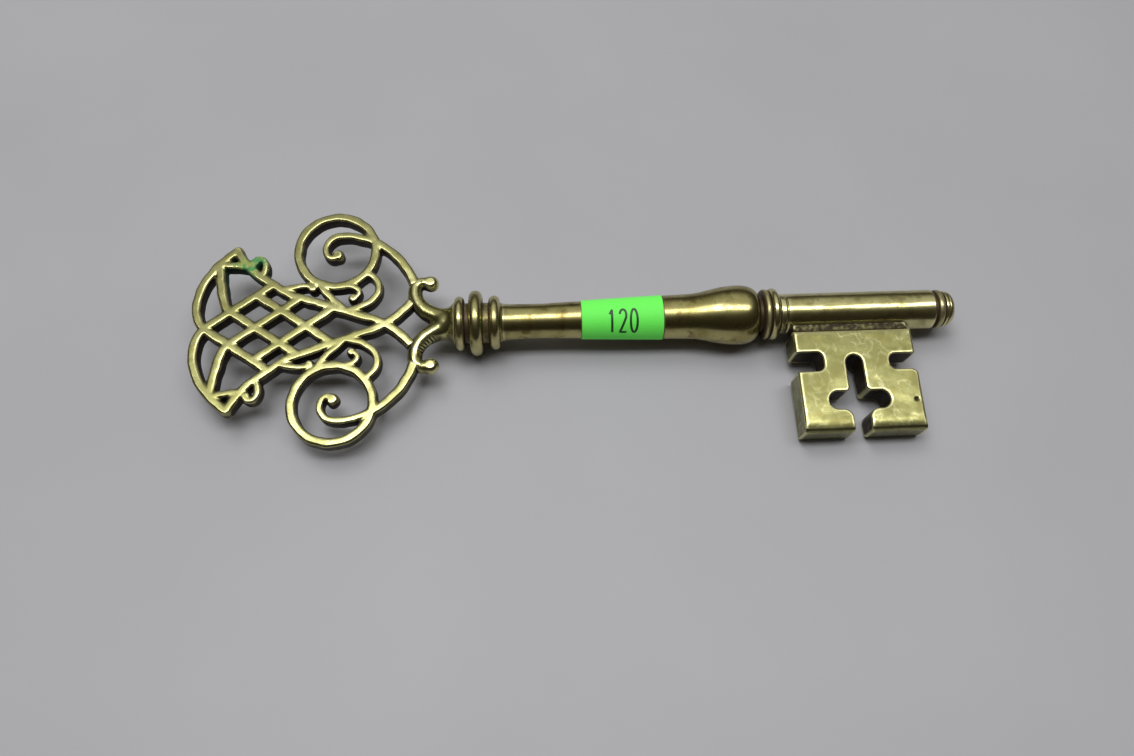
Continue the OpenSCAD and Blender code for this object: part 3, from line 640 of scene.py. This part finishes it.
def strapTree():
    # Flat straps along paths, all of one thickness with rounded edges, and a round boss at each single point
    tree, add, given, paths = newTree("piercedStraps", ["Thickness", "Edge round", "Corner share"])
    count = add("GeometryNodeSplineLength").outputs["Point Count"]
    single = add("FunctionNodeCompare", {2: count, 3: 2}, data_type="INT", operation="LESS_THAN")
    split = add("GeometryNodeSeparateGeometry", {"Geometry": paths, "Selection": single}, domain="CURVE")
    square = add("GeometryNodeCurvePrimitiveQuadrilateral", {"Width": 2.0, "Height": 2.0}, mode="RECTANGLE")
    profile = add("GeometryNodeFilletCurve", {
        "Curve": square, "Count": 4, "Radius": given["Corner share"]}, mode="POLY")
    place = add("GeometryNodeInputPosition").outputs["Position"]
    keep = add("GeometryNodeCaptureAttribute", {"Geometry": profile})
    keep.capture_items.new("VECTOR", "Section")
    tree.links.new(place, keep.inputs["Section"])
    upright = add("GeometryNodeSetCurveNormal", {"Curve": split.outputs["Inverted"]}, mode="Z_UP")
    radius = add("GeometryNodeInputRadius")
    swept = add("GeometryNodeCurveToMesh", {
        "Curve": upright, "Profile Curve": keep, "Scale": radius, "Fill Caps": True})
    # The section's height is put back to the casting's own: a straight wall, then the rounded edge
    across = add("ShaderNodeSeparateXYZ", {"Vector": keep.outputs["Section"]}).outputs["Y"]
    height = add("ShaderNodeMath", {0: across}, operation="ABSOLUTE")
    side = add("ShaderNodeMath", {0: across}, operation="SIGN")
    wallShare = add("ShaderNodeMath", {0: 1.0, 1: given["Corner share"]}, operation="SUBTRACT")
    halfway = add("ShaderNodeMath", {0: given["Thickness"], 1: 0.5}, operation="MULTIPLY")
    wallTop = add("ShaderNodeMath", {0: halfway, 1: given["Edge round"]}, operation="SUBTRACT")
    wall = add("ShaderNodeMapRange", {"Value": height, "From Max": wallShare, "To Max": wallTop})
    edge = add("ShaderNodeMapRange", {
        "Value": height, "From Min": wallShare, "From Max": 1.0, "To Max": given["Edge round"]})
    total = add("ShaderNodeMath", {0: wall, 1: edge}, operation="ADD")
    signed = add("ShaderNodeMath", {0: total, 1: side}, operation="MULTIPLY")
    flat = add("ShaderNodeSeparateXYZ", {"Vector": place}).outputs
    newPlace = add("ShaderNodeCombineXYZ", {"X": flat["X"], "Y": flat["Y"], "Z": signed})
    straps = add("GeometryNodeSetPosition", {"Geometry": swept, "Position": newPlace})
    lowRim = add("ShaderNodeMath", {0: wallTop, 1: 2.0}, operation="MULTIPLY")
    drum = add("GeometryNodeMeshCylinder", {"Vertices": 28, "Radius": 1.0, "Depth": lowRim})
    core = add("GeometryNodeMeshCylinder", {"Vertices": 28, "Radius": 0.72, "Depth": given["Thickness"]})
    boss = add("GeometryNodeJoinGeometry", {"Geometry": [drum, core]})
    scale = add("ShaderNodeCombineXYZ", {"X": radius, "Y": radius, "Z": 1.0})
    bosses = add("GeometryNodeInstanceOnPoints", {"Points": split, "Instance": boss, "Scale": scale})
    finishTree(add, [straps, bosses], given["Finish"])
    return tree


def makeBow(size):
    paths, spots = bowPaths(size)
    mesh = fused("bow", bpy.data.meshes.new("bow"), size["voxel"], strapTree(), paths, {
        "Thickness": size["thickness"], "Edge round": size["edgeRound"], "Corner share": size["cornerShare"],
        "Finish": bowBrass})
    # The piercing was filed by hand, so the walls wander a little in the plane of the casting
    places = vertexArray(mesh)
    low, high = places.min(0), places.max(0)
    noise.seed_set(size["wobbleSeed"])      # noise_vector goes by the time of day until it is given a seed
    wander = [noise.noise_vector(Vector((x, y, 0)) / size["wobbleSize"])[:2] for x, y, z in places]
    places[:, :2] += np.array(wander) * size["wobble"]
    setVertices(mesh, np.clip(places, low, high))
    unevenness(mesh, *size["uneven"])
    # Verdigris gathers on the walls more than on the handled faces
    wall = 1 - np.abs(vertexArray(mesh, normals=True)[:, 2])
    damp = np.zeros(len(places))
    for spot, reach, onFaces in spots:
        near = 1 - np.linalg.norm(places[:, :2] - spot, axis=1) / reach
        damp = np.maximum(damp, near * (onFaces + (1 - onFaces) * wall * 1.6))
    setShade(mesh, "verdigris", damp)
    keepPiece("keyBow", "bow", mesh, bowBrass, "cast_brass", wallSkinAndShade=size["wallSkinAndShade"])


makeBow(bowSize)


# Collar: three beads turned from one bar
collarSize = {"middleBeadR": 8.9, "sideBeadR": 7.4, "floorR": 5.5, "seatR": 5.2, "boreR": 2.55,
              "softEdge": 0.35, "meshStep": 0.6, "uneven": (0.03, 4.0, 2)}


def makeCollar(size):
    start, middle, floor, bore = key["collarStart"], key["middleBead"], size["floorR"], size["boreR"]
    outline = softCorners([
        *bead(size["sideBeadR"], start + 1.3, 2.6), (floor, start + 2.6), (floor, middle - 1.8),
        *bead(size["middleBeadR"], middle, 3.6), (floor, middle + 1.8), (floor, -3.7),
        *bead(size["sideBeadR"], -2.2, 3.0), (floor, -0.7), (size["seatR"], 0)], size["softEdge"])
    keepTurned("keyCollar", "collar", soiledBrass, [*outline, (bore, 0), (bore, start)], size)


makeCollar(collarSize)


# Shank: a short cove, a waist, a slow taper, then the bulge
shankSize = {"waistR": 4.8, "taperR": 6.25, "bulgeR": 8.2, "seatR": 5.2, "boreDepth": 8.05, "boreR": 2.55,
             "farBoreR": 2.05, "meshStep": 0.9, "uneven": (0.03, 9.0, 3)}


def makeShank(size):
    waist, taper, bulge, end = key["waist"], key["taper"], key["bulge"], key["shankEnd"]
    waistR, taperR, bulgeR, seatR = size["waistR"], size["taperR"], size["bulgeR"], size["seatR"]
    depth, near, far = size["boreDepth"], size["boreR"], size["farBoreR"]
    outline = joined(
        bezier((seatR, 0), (waistR + 0.1, 0.8), (waistR, 4), (waistR, waist), 14),
        [(waistR, waist), (taperR, taper)],
        bezier((taperR, taper), (taperR + 0.2, taper + 4.6), (bulgeR, bulge - 5.7), (bulgeR, bulge), 30),
        bezier((bulgeR, bulge), (bulgeR, bulge + 3.4), (bulgeR - 1, end - 0.4), (seatR - 0.4, end), 20))
    outline = [(0, depth), (near, depth), (near, 0), *outline,
               (far, end), (far, end - depth), (0, end - depth)]
    keepTurned("keyShank", "shank", turnedBrass, outline, size)


makeShank(shankSize)


# Neck ring: two beads on a short neck, with old polish on the first
ringSize = {"beadR": 7.1, "neckR": 4.75, "boreR": 2.05, "softEdge": 0.22, "meshStep": 0.5,
            "uneven": (0.02, 3.0, 4), "soil": 0.34}


def makeNeckRing(size):
    start, end, neck, bore = key["shankEnd"], key["barrelStart"], size["neckR"], size["boreR"]
    outline = softCorners([
        (neck, start), (neck, start + 0.8), *bead(size["beadR"] - 0.2, start + 1.8, 2),
        *bead(size["beadR"], start + 3.95, 2.3), (neck + 0.2, start + 5.1), (neck + 0.2, end)],
        size["softEdge"])
    keepTurned("keyNeckRing", "neck_ring", soiledBrass, [*outline, (bore, end), (bore, start)], size,
               soilFade=(start + 3.0, start + 2.4))


makeNeckRing(ringSize)


# Barrel: plain, with a fine groove by the neck ring and a tip turned a hair smaller
barrelSize = {"radius": 5.45, "tipRelief": 0.05, "grooveDepth": 0.3, "boreR": 2.05, "boreDepth": 8.05,
              "softEdge": 0.18, "meshStep": 0.9, "uneven": (0.035, 9.0, 5)}


def makeBarrel(size):
    start, end, bore, depth = key["barrelStart"], key["barrelEnd"], size["boreR"], size["boreDepth"]
    r, groove, relief = size["radius"], start + 2, key["bitEnd"] + 0.3
    tipR = r - size["tipRelief"]
    outline = softCorners([
        (r - 0.35, start), (r, start + 0.4), (r, groove - 0.4), (r - size["grooveDepth"], groove),
        (r, groove + 0.4), (r, relief), (tipR, relief + 0.7), (tipR, end - 0.5), (tipR - 0.5, end)],
        size["softEdge"])
    outline = [(0, start + depth), (bore, start + depth), (bore, start), *outline,
               (bore, end), (bore, end - depth), (0, end - depth)]
    keepTurned("keyBarrel", "barrel", barrelBrass, outline, size)


makeBarrel(barrelSize)


# End button, from the barrel: a groove, a soiled round band, a groove, a thin ridge, a groove and the dome
buttonSize = {"inset": 0.4, "spigotR": 2.0, "spigotLength": 8.0, "softEdge": 0.14, "meshStep": 0.4,
              "uneven": (0.02, 3.0, 6), "soil": 0.34}


def makeEndButton(size):
    start, tip, r = key["barrelEnd"], key["tip"], barrelSize["radius"] - size["inset"]
    band, ridge, dome, domeR = start + 0.45, start + 2.8, start + 3.85, r - 0.25
    outline = softCorners([
        (r - 0.5, start), (r - 0.5, band),
        *bezier((r - 0.3, band), (r + 0.5, band + 0.2), (r + 0.5, band + 1.8), (r - 0.4, band + 2), 14),
        (r - 0.6, ridge - 0.2), (r - 0.1, ridge), (r - 0.1, ridge + 0.5), (r - 0.6, ridge + 0.75),
        (domeR, dome), *arc((0, dome), domeR, 6, 84, 13, tallR=tip - dome)], size["softEdge"])
    spigot, spigotEnd = size["spigotR"], start - size["spigotLength"]
    outline = [(0, spigotEnd), (spigot, spigotEnd), (spigot, start), *outline, (0, tip)]
    keepTurned("keyEndButton", "end_button", soiledBrass, outline, size, soilFade=(ridge + 0.1, ridge - 0.5))


makeEndButton(buttonSize)


# Bit: a thick plate with side notches, an upright slot and a cross slot. Heights are from its outer edge
bitSize = {"reach": 35.4, "inner": -7.1, "thickness": 8.6, "sideEdge": 0.8, "outerEdge": 2.2,
           "webThickness": 6.0, "webEnd": -4.2, "slotPlace": 0.477, "slotWidth": 4.6, "slotTop": 21.2,
           "crossLength": 16.4, "crossWidth": 4.9, "crossHeight": 8.6, "shoulderR": 2.4, "crotchR": 1.2,
           "notchDepth": 7.4, "notchR": 1.8, "nearNotch": (16.9, 22.3), "farNotch": (16.8, 21.2), "lipR": 2.0,
           "wornReach": 3.4, "wornDrop": 0.7, "pit": (1.9, 8.2), "pitDepth": 0.8, "webSoil": 0.17,
           "webMottle": 0.16, "webMottleSize": 0.8, "voxel": 0.26, "uneven": (0.045, 6.0, 8),
           "wallSkinAndShade": 0.12}


def bitOutline(size):
    x0, x1, inner, outer = key["bitStart"], key["bitEnd"], size["inner"], -size["reach"]
    slotX, slotR = x0 + (x1 - x0) * size["slotPlace"], size["slotWidth"] / 2
    s0, s1 = slotX - slotR, slotX + slotR
    half, shoulder, crotch = size["crossWidth"] / 2, size["shoulderR"], size["crotchR"]
    c0, c1 = slotX - size["crossLength"] / 2 + half, slotX + size["crossLength"] / 2 - half
    crossY = outer + size["crossHeight"]
    shoulderY, crotchY = crossY - half - shoulder, crossY + half + crotch
    (n0, n1), (m0, m1) = np.add(size["nearNotch"], outer), np.add(size["farNotch"], outer)
    r, lip = size["notchR"], size["lipR"]
    nearX, farX = x0 + size["notchDepth"] - r, x1 - size["notchDepth"] + r
    return [
        (x0, inner), (x0, n1), *arc((nearX, n1 - r), r, 90, 0), *arc((nearX, n0 + r), r, 0, -90), (x0, n0),
        (x0, outer), (s0, outer), *arc((s0 - shoulder, shoulderY), shoulder, 0, 90),
        *arc((c0, crossY), half, 270, 90, 20), *arc((s0 - crotch, crotchY), crotch, 270, 360, 8),
        *arc((slotX, outer + size["slotTop"] - slotR), slotR, 180, 0, 24),
        *arc((s1 + crotch, crotchY), crotch, 180, 270, 8), *arc((c1, crossY), half, 90, -90, 20),
        *arc((s1 + shoulder, shoulderY), shoulder, 90, 180), (s1, outer), (x1, outer),
        *arc((x1 - lip, m0 - lip), lip, 0, 90, 8), *arc((farX, m0 + r), r, 270, 180),
        *arc((farX, m1 - r), r, 180, 90), (x1, m1), (x1, inner)]


def roundEdge(places, axis, edge, way, half, r):
    # Pulls vertices in to a round edge, which lies at one value of an axis with the plate on its way side
    inward = r - (places[:, axis] - edge) * way
    upward = np.abs(places[:, 2]) - (half - r)
    far = np.hypot(inward, upward)
    pull = (inward > 0) & (upward > 0) & (far > r)
    places[pull, axis] = edge + way * (r - inward[pull] * r / far[pull])
    places[pull, 2] = np.sign(places[pull, 2]) * (half - r + upward[pull] * r / far[pull])


def bitBlank(size):
    # The sawn plate with sharp edges, and the web that runs on from it into the barrel
    form, points, half = bmesh.new(), bitOutline(size), size["thickness"] / 2
    low = [form.verts.new((x, y, -half)) for x, y in points]
    high = [form.verts.new((x, y, half)) for x, y in points]
    form.faces.new(low)
    form.faces.new(high)
    for i in range(len(points)):
        form.faces.new((low[i - 1], low[i], high[i], high[i - 1]))
    web = bmesh.ops.create_cube(form, size=1.0)["verts"]
    x0, x1, y0, y1 = key["bitStart"] + 0.5, key["bitEnd"] - 0.5, size["inner"] - 1, size["webEnd"]
    for v in web:
        v.co = Vector(((x0 + x1) / 2 + v.co.x * (x1 - x0), (y0 + y1) / 2 + v.co.y * (y1 - y0),
                       v.co.z * size["webThickness"]))
    return meshOf(form, "bit")


def makeBit(size):
    mesh = fused("bit", bitBlank(size), size["voxel"])
    x0, x1, inner, outer = key["bitStart"], key["bitEnd"], size["inner"], -size["reach"]
    places, half = vertexArray(mesh), size["thickness"] / 2
    roundEdge(places, 1, outer, 1, half, size["outerEdge"])
    # Handling has worn the outer edge further in than the file went
    inward = np.clip(1 - (places[:, 1] - outer) / size["wornReach"], 0, 1)
    ceiling = half - size["wornDrop"] * inward ** 2
    places[:, 2] = np.clip(places[:, 2], -ceiling, ceiling)
    roundEdge(places, 0, x0, 1, half, size["sideEdge"])
    roundEdge(places, 0, x1, -1, half, size["sideEdge"])
    plate = places[:, 1] < inner + 0.05
    inside = places[plate]
    roundEdge(inside, 1, inner, -1, half, size["sideEdge"])
    places[plate] = inside

    # The corner between plate and web fills with a fillet
    valley = smoothStep(places[:, 1], inner - 0.1, inner + 0.5) * (np.abs(places[:, 2]) < half - 0.9)
    setVertices(mesh, relaxed(places, edgeArray(mesh), 0.8 * valley, 12))
    unevenness(mesh, *size["uneven"])
    # One small casting pit by the far edge
    places = vertexArray(mesh)
    pit = np.exp(-((places[:, :2] - (x1, outer) - np.multiply(size["pit"], (-1, 1))) ** 2).sum(1) / 0.12)
    places[:, 2] -= pit * size["pitDepth"] * (places[:, 2] > 0)
    setVertices(mesh, places)
    # Dirt lies unevenly along the web
    mottle = np.array([noise.noise(Vector(p) / size["webMottleSize"]) for p in places])
    soil = smoothStep(places[:, 1], inner - 0.2, inner + 0.3) * (size["webSoil"] + size["webMottle"] * mottle)
    keepPiece("keyBit", "bit", mesh, bitBrass, "cast_brass", soil=soil, wallSkinAndShade=size["wallSkinAndShade"])


makeBit(bitSize)


# Lot label: fluorescent paper wrapped over the shank, with a plain stamped number
labelSize = {"start": 21.3, "length": 22.0, "height": 16.0, "thickness": 0.15, "gap": 0.03, "lean": 20.0,
             "number": "120", "digitHeight": 6.4, "digitWidth": 0.62, "digitPitch": 1.5, "digitDrop": 0.9,
             "strokeWidth": 0.62}


def digitStrokes(digit):
    # A digit as strokes in a box 1 wide and 2 high
    return {
        "0": [arc((0.5, 1.0), 0.46, 90, 450, 40, tallR=0.98)],
        "1": [np.array([(0.2, 1.6), (0.52, 1.98), (0.52, 0.02)])],
        "2": [np.vstack([arc((0.5, 1.5), 0.44, 170, -28, 26, tallR=0.48), (0.06, 0.03), (0.96, 0.03)])],
    }[digit]


def shankRadiusAt(x):
    return np.interp(x, (key["waist"], key["taper"]), (shankSize["waistR"], shankSize["taperR"]))


def labelPlace(size, u, v, lift):
    # Here u runs along the shank in mm, and v from -height/2 at the near edge to height/2 at the far edge
    ends = shankRadiusAt(size["start"]), shankRadiusAt(size["start"] + size["length"])
    angle = math.radians(size["lean"]) - v / (sum(ends) / 2 + size["gap"])
    r = shankRadiusAt(size["start"] + u) + size["gap"] + lift
    return size["start"] + u, -r * math.sin(angle), r * math.cos(angle)


def addPaper(form, size, across=64, along=44):
    grid = {(level, i, j): form.verts.new(labelPlace(
        size, size["length"] * i / along, size["height"] * (j / across - 0.5), level * size["thickness"]))
        for level in (0, 1) for i in range(along + 1) for j in range(across + 1)}

    def addFace(*corners):
        form.faces.new([grid[corner] for corner in corners])

    for i in range(along):
        for j in range(across):
            for level in (0, 1):
                addFace((level, i, j), (level, i + 1, j), (level, i + 1, j + 1), (level, i, j + 1))
        for j in (0, across):
            addFace((0, i, j), (0, i + 1, j), (1, i + 1, j), (1, i, j))
    for j in range(across):
        for i in (0, along):
            addFace((0, i, j), (0, i, j + 1), (1, i, j + 1), (1, i, j))


def addStroke(form, size, line):
    # A thin bar of ink along a line on the label
    line = np.array(evenSteps(line, 0.3))
    ahead = np.gradient(line, axis=0)
    ahead /= np.maximum(np.linalg.norm(ahead, axis=1), 1e-9)[:, None]
    aside = np.column_stack([-ahead[:, 1], ahead[:, 0]]) * size["strokeWidth"] / 2
    rails = []
    for way, rise in ((1, 0.005), (1, 0.02), (-1, 0.02), (-1, 0.005)):
        places = [labelPlace(size, u, v, size["thickness"] + rise) for u, v in line + aside * way]
        rails.append([form.verts.new(place) for place in places])
    for a, b in zip(rails, rails[1:] + rails[:1]):
        for k in range(len(line) - 1):
            form.faces.new([a[k], a[k + 1], b[k + 1], b[k]])
    for end in (0, -1):
        form.faces.new([rail[end] for rail in rails])


def makeLabel(size):
    form = bmesh.new()
    addPaper(form, size)
    paperFaces = len(form.faces)
    scale = np.array([size["digitWidth"], 1.0]) * size["digitHeight"] / 2
    textWidth = ((len(size["number"]) - 1) * size["digitPitch"] + 1) * scale[0]
    corner = ((size["length"] - textWidth) / 2, -size["digitHeight"] / 2 - size["digitDrop"])
    for i, digit in enumerate(size["number"]):
        for stroke in digitStrokes(digit):
            addStroke(form, size, (stroke + (i * size["digitPitch"], 0)) * scale + corner)
    mesh = meshOf(form, "label")
    keepPiece("lotLabel", "lot_label", mesh, greenPaper, "label_paper", sharpAngle=40)
    mesh.materials.append(stampInk)
    mesh.polygons.foreach_set("material_index", [0] * paperFaces + [1] * (len(mesh.polygons) - paperFaces))


makeLabel(labelSize)
print("pieces made")


# Nooks and worn edges, which the brass materials read: the nook value is an occlusion that places patina and
# painted shade in hollows, and the worn edges are rubbed brass with a painted highlight
nookSize = {"reach": 7.0, "lift": 0.06, "rays": 26, "quickRays": 12, "leastSlope": 0.12, "wearAndGlintGain": 0.9}


def allBodies():
    places, faces = [], []
    for piece in pieces:
        faces += [[len(places) + v for v in p.vertices] for p in piece["mesh"].polygons]
        places += vertexArray(piece["mesh"]).tolist()
    return BVHTree.FromPolygons(places, faces)


def raysAllRound(count):
    golden = math.pi * (3 - math.sqrt(5))
    z = 1 - 2 * (np.arange(count) + 0.5) / count
    turn, flat = golden * np.arange(count), np.sqrt(1 - z * z)
    return [Vector(ray) for ray in zip(flat * np.cos(turn), flat * np.sin(turn), z)]


def hiddenShare(bodies, rays, place, normal, size):
    # How much of what a spot looks out on is metal close by
    blocked = total = 0.0
    start, reach = place + normal * size["lift"], size["reach"]
    for ray in rays:
        weight = ray.dot(normal)
        if weight > size["leastSlope"]:
            total += weight
            hit = bodies.ray_cast(start, ray, reach)[3]
            if hit is not None:
                blocked += weight * (1 - 0.5 * hit / reach)
    return blocked / max(total, 1e-6)


def shadeNooks(size):
    bodies = allBodies()
    rays = raysAllRound(size["rays"])
    for piece in pieces:
        mesh = piece["mesh"]
        places, normals, edges = vertexArray(mesh), vertexArray(mesh, normals=True), edgeArray(mesh)
        nook = [hiddenShare(bodies, rays, Vector(p), Vector(n), size) for p, n in zip(places, normals)]
        nook = spread(np.array(nook), edges, 2)
        # Real soil is added, and the walls darken as casting skin and as painted shade
        nook += piece["soil"] + piece["wallSkinAndShade"] * (1 - np.abs(normals[:, 2]))
        # An edge is worn, and given a painted highlight, where the normals of neighbours lean apart
        first, second = edges.T
        step = places[second] - places[first]
        bend = ((normals[second] - normals[first]) * step).sum(1) / np.maximum((step ** 2).sum(1), 1e-6)
        wear = np.zeros(len(places))
        np.add.at(wear, edges.ravel(), np.repeat(bend, 2))
        wear = spread(wear / neighbourSum(np.ones(len(places)), edges), edges, 3)
        wear = np.clip(wear * size["wearAndGlintGain"], 0, 1) * smoothStep(nook, 0.55, 0.25)
        setShade(mesh, "nook", nook)
        setShade(mesh, "wear", wear)
        print(piece["name"], "nooks shaded")


def placeOfKey():
    # The middle bead, the bulge and one corner of the bit carry the key, which gives its pitch and roll
    beadR, bulgeR, outer = collarSize["middleBeadR"], shankSize["bulgeR"], bitSize["outerEdge"]
    pitch = math.asin((beadR - bulgeR) / (key["bulge"] - key["middleBead"]))
    axisHeight = beadR + key["middleBead"] * math.sin(pitch)
    cornerX = key["bitEnd"] - bitSize["sideEdge"]
    cornerHeight = beadR - (cornerX - key["middleBead"]) * math.sin(pitch) - outer
    cornerY, cornerZ = bitSize["reach"] - outer, bitSize["thickness"] / 2 - outer
    roll = math.asin(cornerHeight / math.hypot(cornerY, cornerZ)) - math.atan(cornerZ / cornerY)
    rimBulge = 2.5
    middleX = (key["notch"] - rimBulge - bowSize["rim"] / 2 + key["tip"]) / 2
    middleY = (bowSize["width"] / 2 - bitSize["reach"]) * math.cos(roll) / 2
    lying = Matrix.Rotation(pitch, 4, "Y") @ Matrix.Rotation(roll, 4, "X")
    return Matrix.Scale(0.001, 4) @ Matrix.Translation((-middleX, -middleY, axisHeight)) @ lying


keyToWorld = placeOfKey()
shadeNooks(nookSize)
for piece in pieces:
    piece["mesh"].transform(keyToWorld)
    obj = link(bpy.data.objects.new(piece["name"], piece["mesh"]))
    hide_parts(piece["node"])
    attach(obj, "root")
for name in ("bow_stud", "barrel_stud"):
    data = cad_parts[name].data
    data.materials.clear()
    data.materials.append(studBrass)
print("pieces placed")


# Table, light and camera
def makeFloor(half=1.6):
    # Matt grey table laminate: even, with a faint soft shine
    material = mottledMaterial("paleLaminate", "#a3a3a8", "#acacb0", {"Scale": 0.014, "Detail": 3.0},
                               {"Roughness": 0.42, "Specular IOR Level": 0.3})
    corners = [(-half, -half, 0), (half, -half, 0), (half, half, 0), (-half, half, 0)]
    mesh = bpy.data.meshes.new("table")
    mesh.from_pydata(corners, [], [(0, 1, 2, 3)])
    mesh.materials.append(material)
    link(bpy.data.objects.new("table", mesh))


def makeLamp(name, place, size, power, mirrored=True):
    data = bpy.data.lights.new(name, "AREA")
    data.shape = "RECTANGLE"
    data.size, data.size_y = size
    data.energy = power
    obj = link(bpy.data.objects.new(name, data))
    obj.location = place
    obj.rotation_euler = (-Vector(place)).to_track_quat("-Z", "Y").to_euler()
    obj.visible_glossy = mirrored


def makeWorld():
    # A dim room with a pale ceiling: what the brass mirrors, while the camera sees plain pale grey
    world = bpy.data.worlds.new("room")
    add = emptied(world)
    way = add("ShaderNodeTexCoord").outputs["Generated"]
    lean = add("ShaderNodeVectorMath", {0: way, 1: (0, 0.42, 0.907)}, operation="DOT_PRODUCT")
    ramp = add("ShaderNodeValToRGB", {"Fac": lean})
    stops = ramp.color_ramp.elements
    stops[0].color, stops[1].color = linearColour("#2e2a26"), linearColour("#d8d8d4")
    for height, code in ((0.55, "#403c34"), (0.7, "#6a6862"), (0.79, "#a4a49e"), (0.9, "#c6c6c0")):
        stops.new(height).color = linearColour(code)
    room = add("ShaderNodeBackground", {"Color": ramp})
    plain = add("ShaderNodeBackground", {"Color": linearColour("#c9c9cd")})
    seen = add("ShaderNodeLightPath").outputs["Is Camera Ray"]
    chosen = add("ShaderNodeMixShader", {0: seen, 1: room, 2: plain})
    add("ShaderNodeOutputWorld", {"Surface": chosen})
    bpy.context.scene.world = world


# The camera's turns about X, Y and Z in the key's frame, its way back from there in mm, and its lens
cameraView = {"turns": (-19.330, 2.700, 1.944), "back": (0, -15.545, 246.342), "backScale": 1.012,
              "middle": (17.5, 0, 0), "lens": 28.94}


def makeCamera(view):
    turn = Matrix.Identity(3)
    for angle, axis in zip(view["turns"], "XYZ"):
        turn = Matrix.Rotation(math.radians(angle), 3, axis) @ turn
    turnBack = turn.transposed()
    eye = view["backScale"] * (turnBack @ Vector(view["back"])) + Vector(view["middle"])
    data = bpy.data.cameras.new("camera")
    data.lens = view["lens"]
    data.sensor_width = 36
    data.clip_start = 0.01
    obj = link(bpy.data.objects.new("camera", data))
    matrix = (keyToWorld.to_3x3() * 1000 @ turnBack).to_4x4()
    matrix.translation = keyToWorld @ eye
    obj.matrix_world = matrix
    bpy.context.scene.camera = obj


makeFloor()
makeWorld()
makeLamp("ceilingStrip", (0.0, 0.04, 1.2), (1.6, 0.3), 8.5)
makeLamp("ceilingPanel", (-0.17, 0.21, 1.2), (0.36, 0.34), 1.2)
makeLamp("roomFill", (-0.3, 0.6, 1.15), (0.6, 0.5), 4.2, mirrored=False)
makeCamera(cameraView)
bpy.context.scene.view_settings.view_transform = "Standard"
print("table, light and camera made")
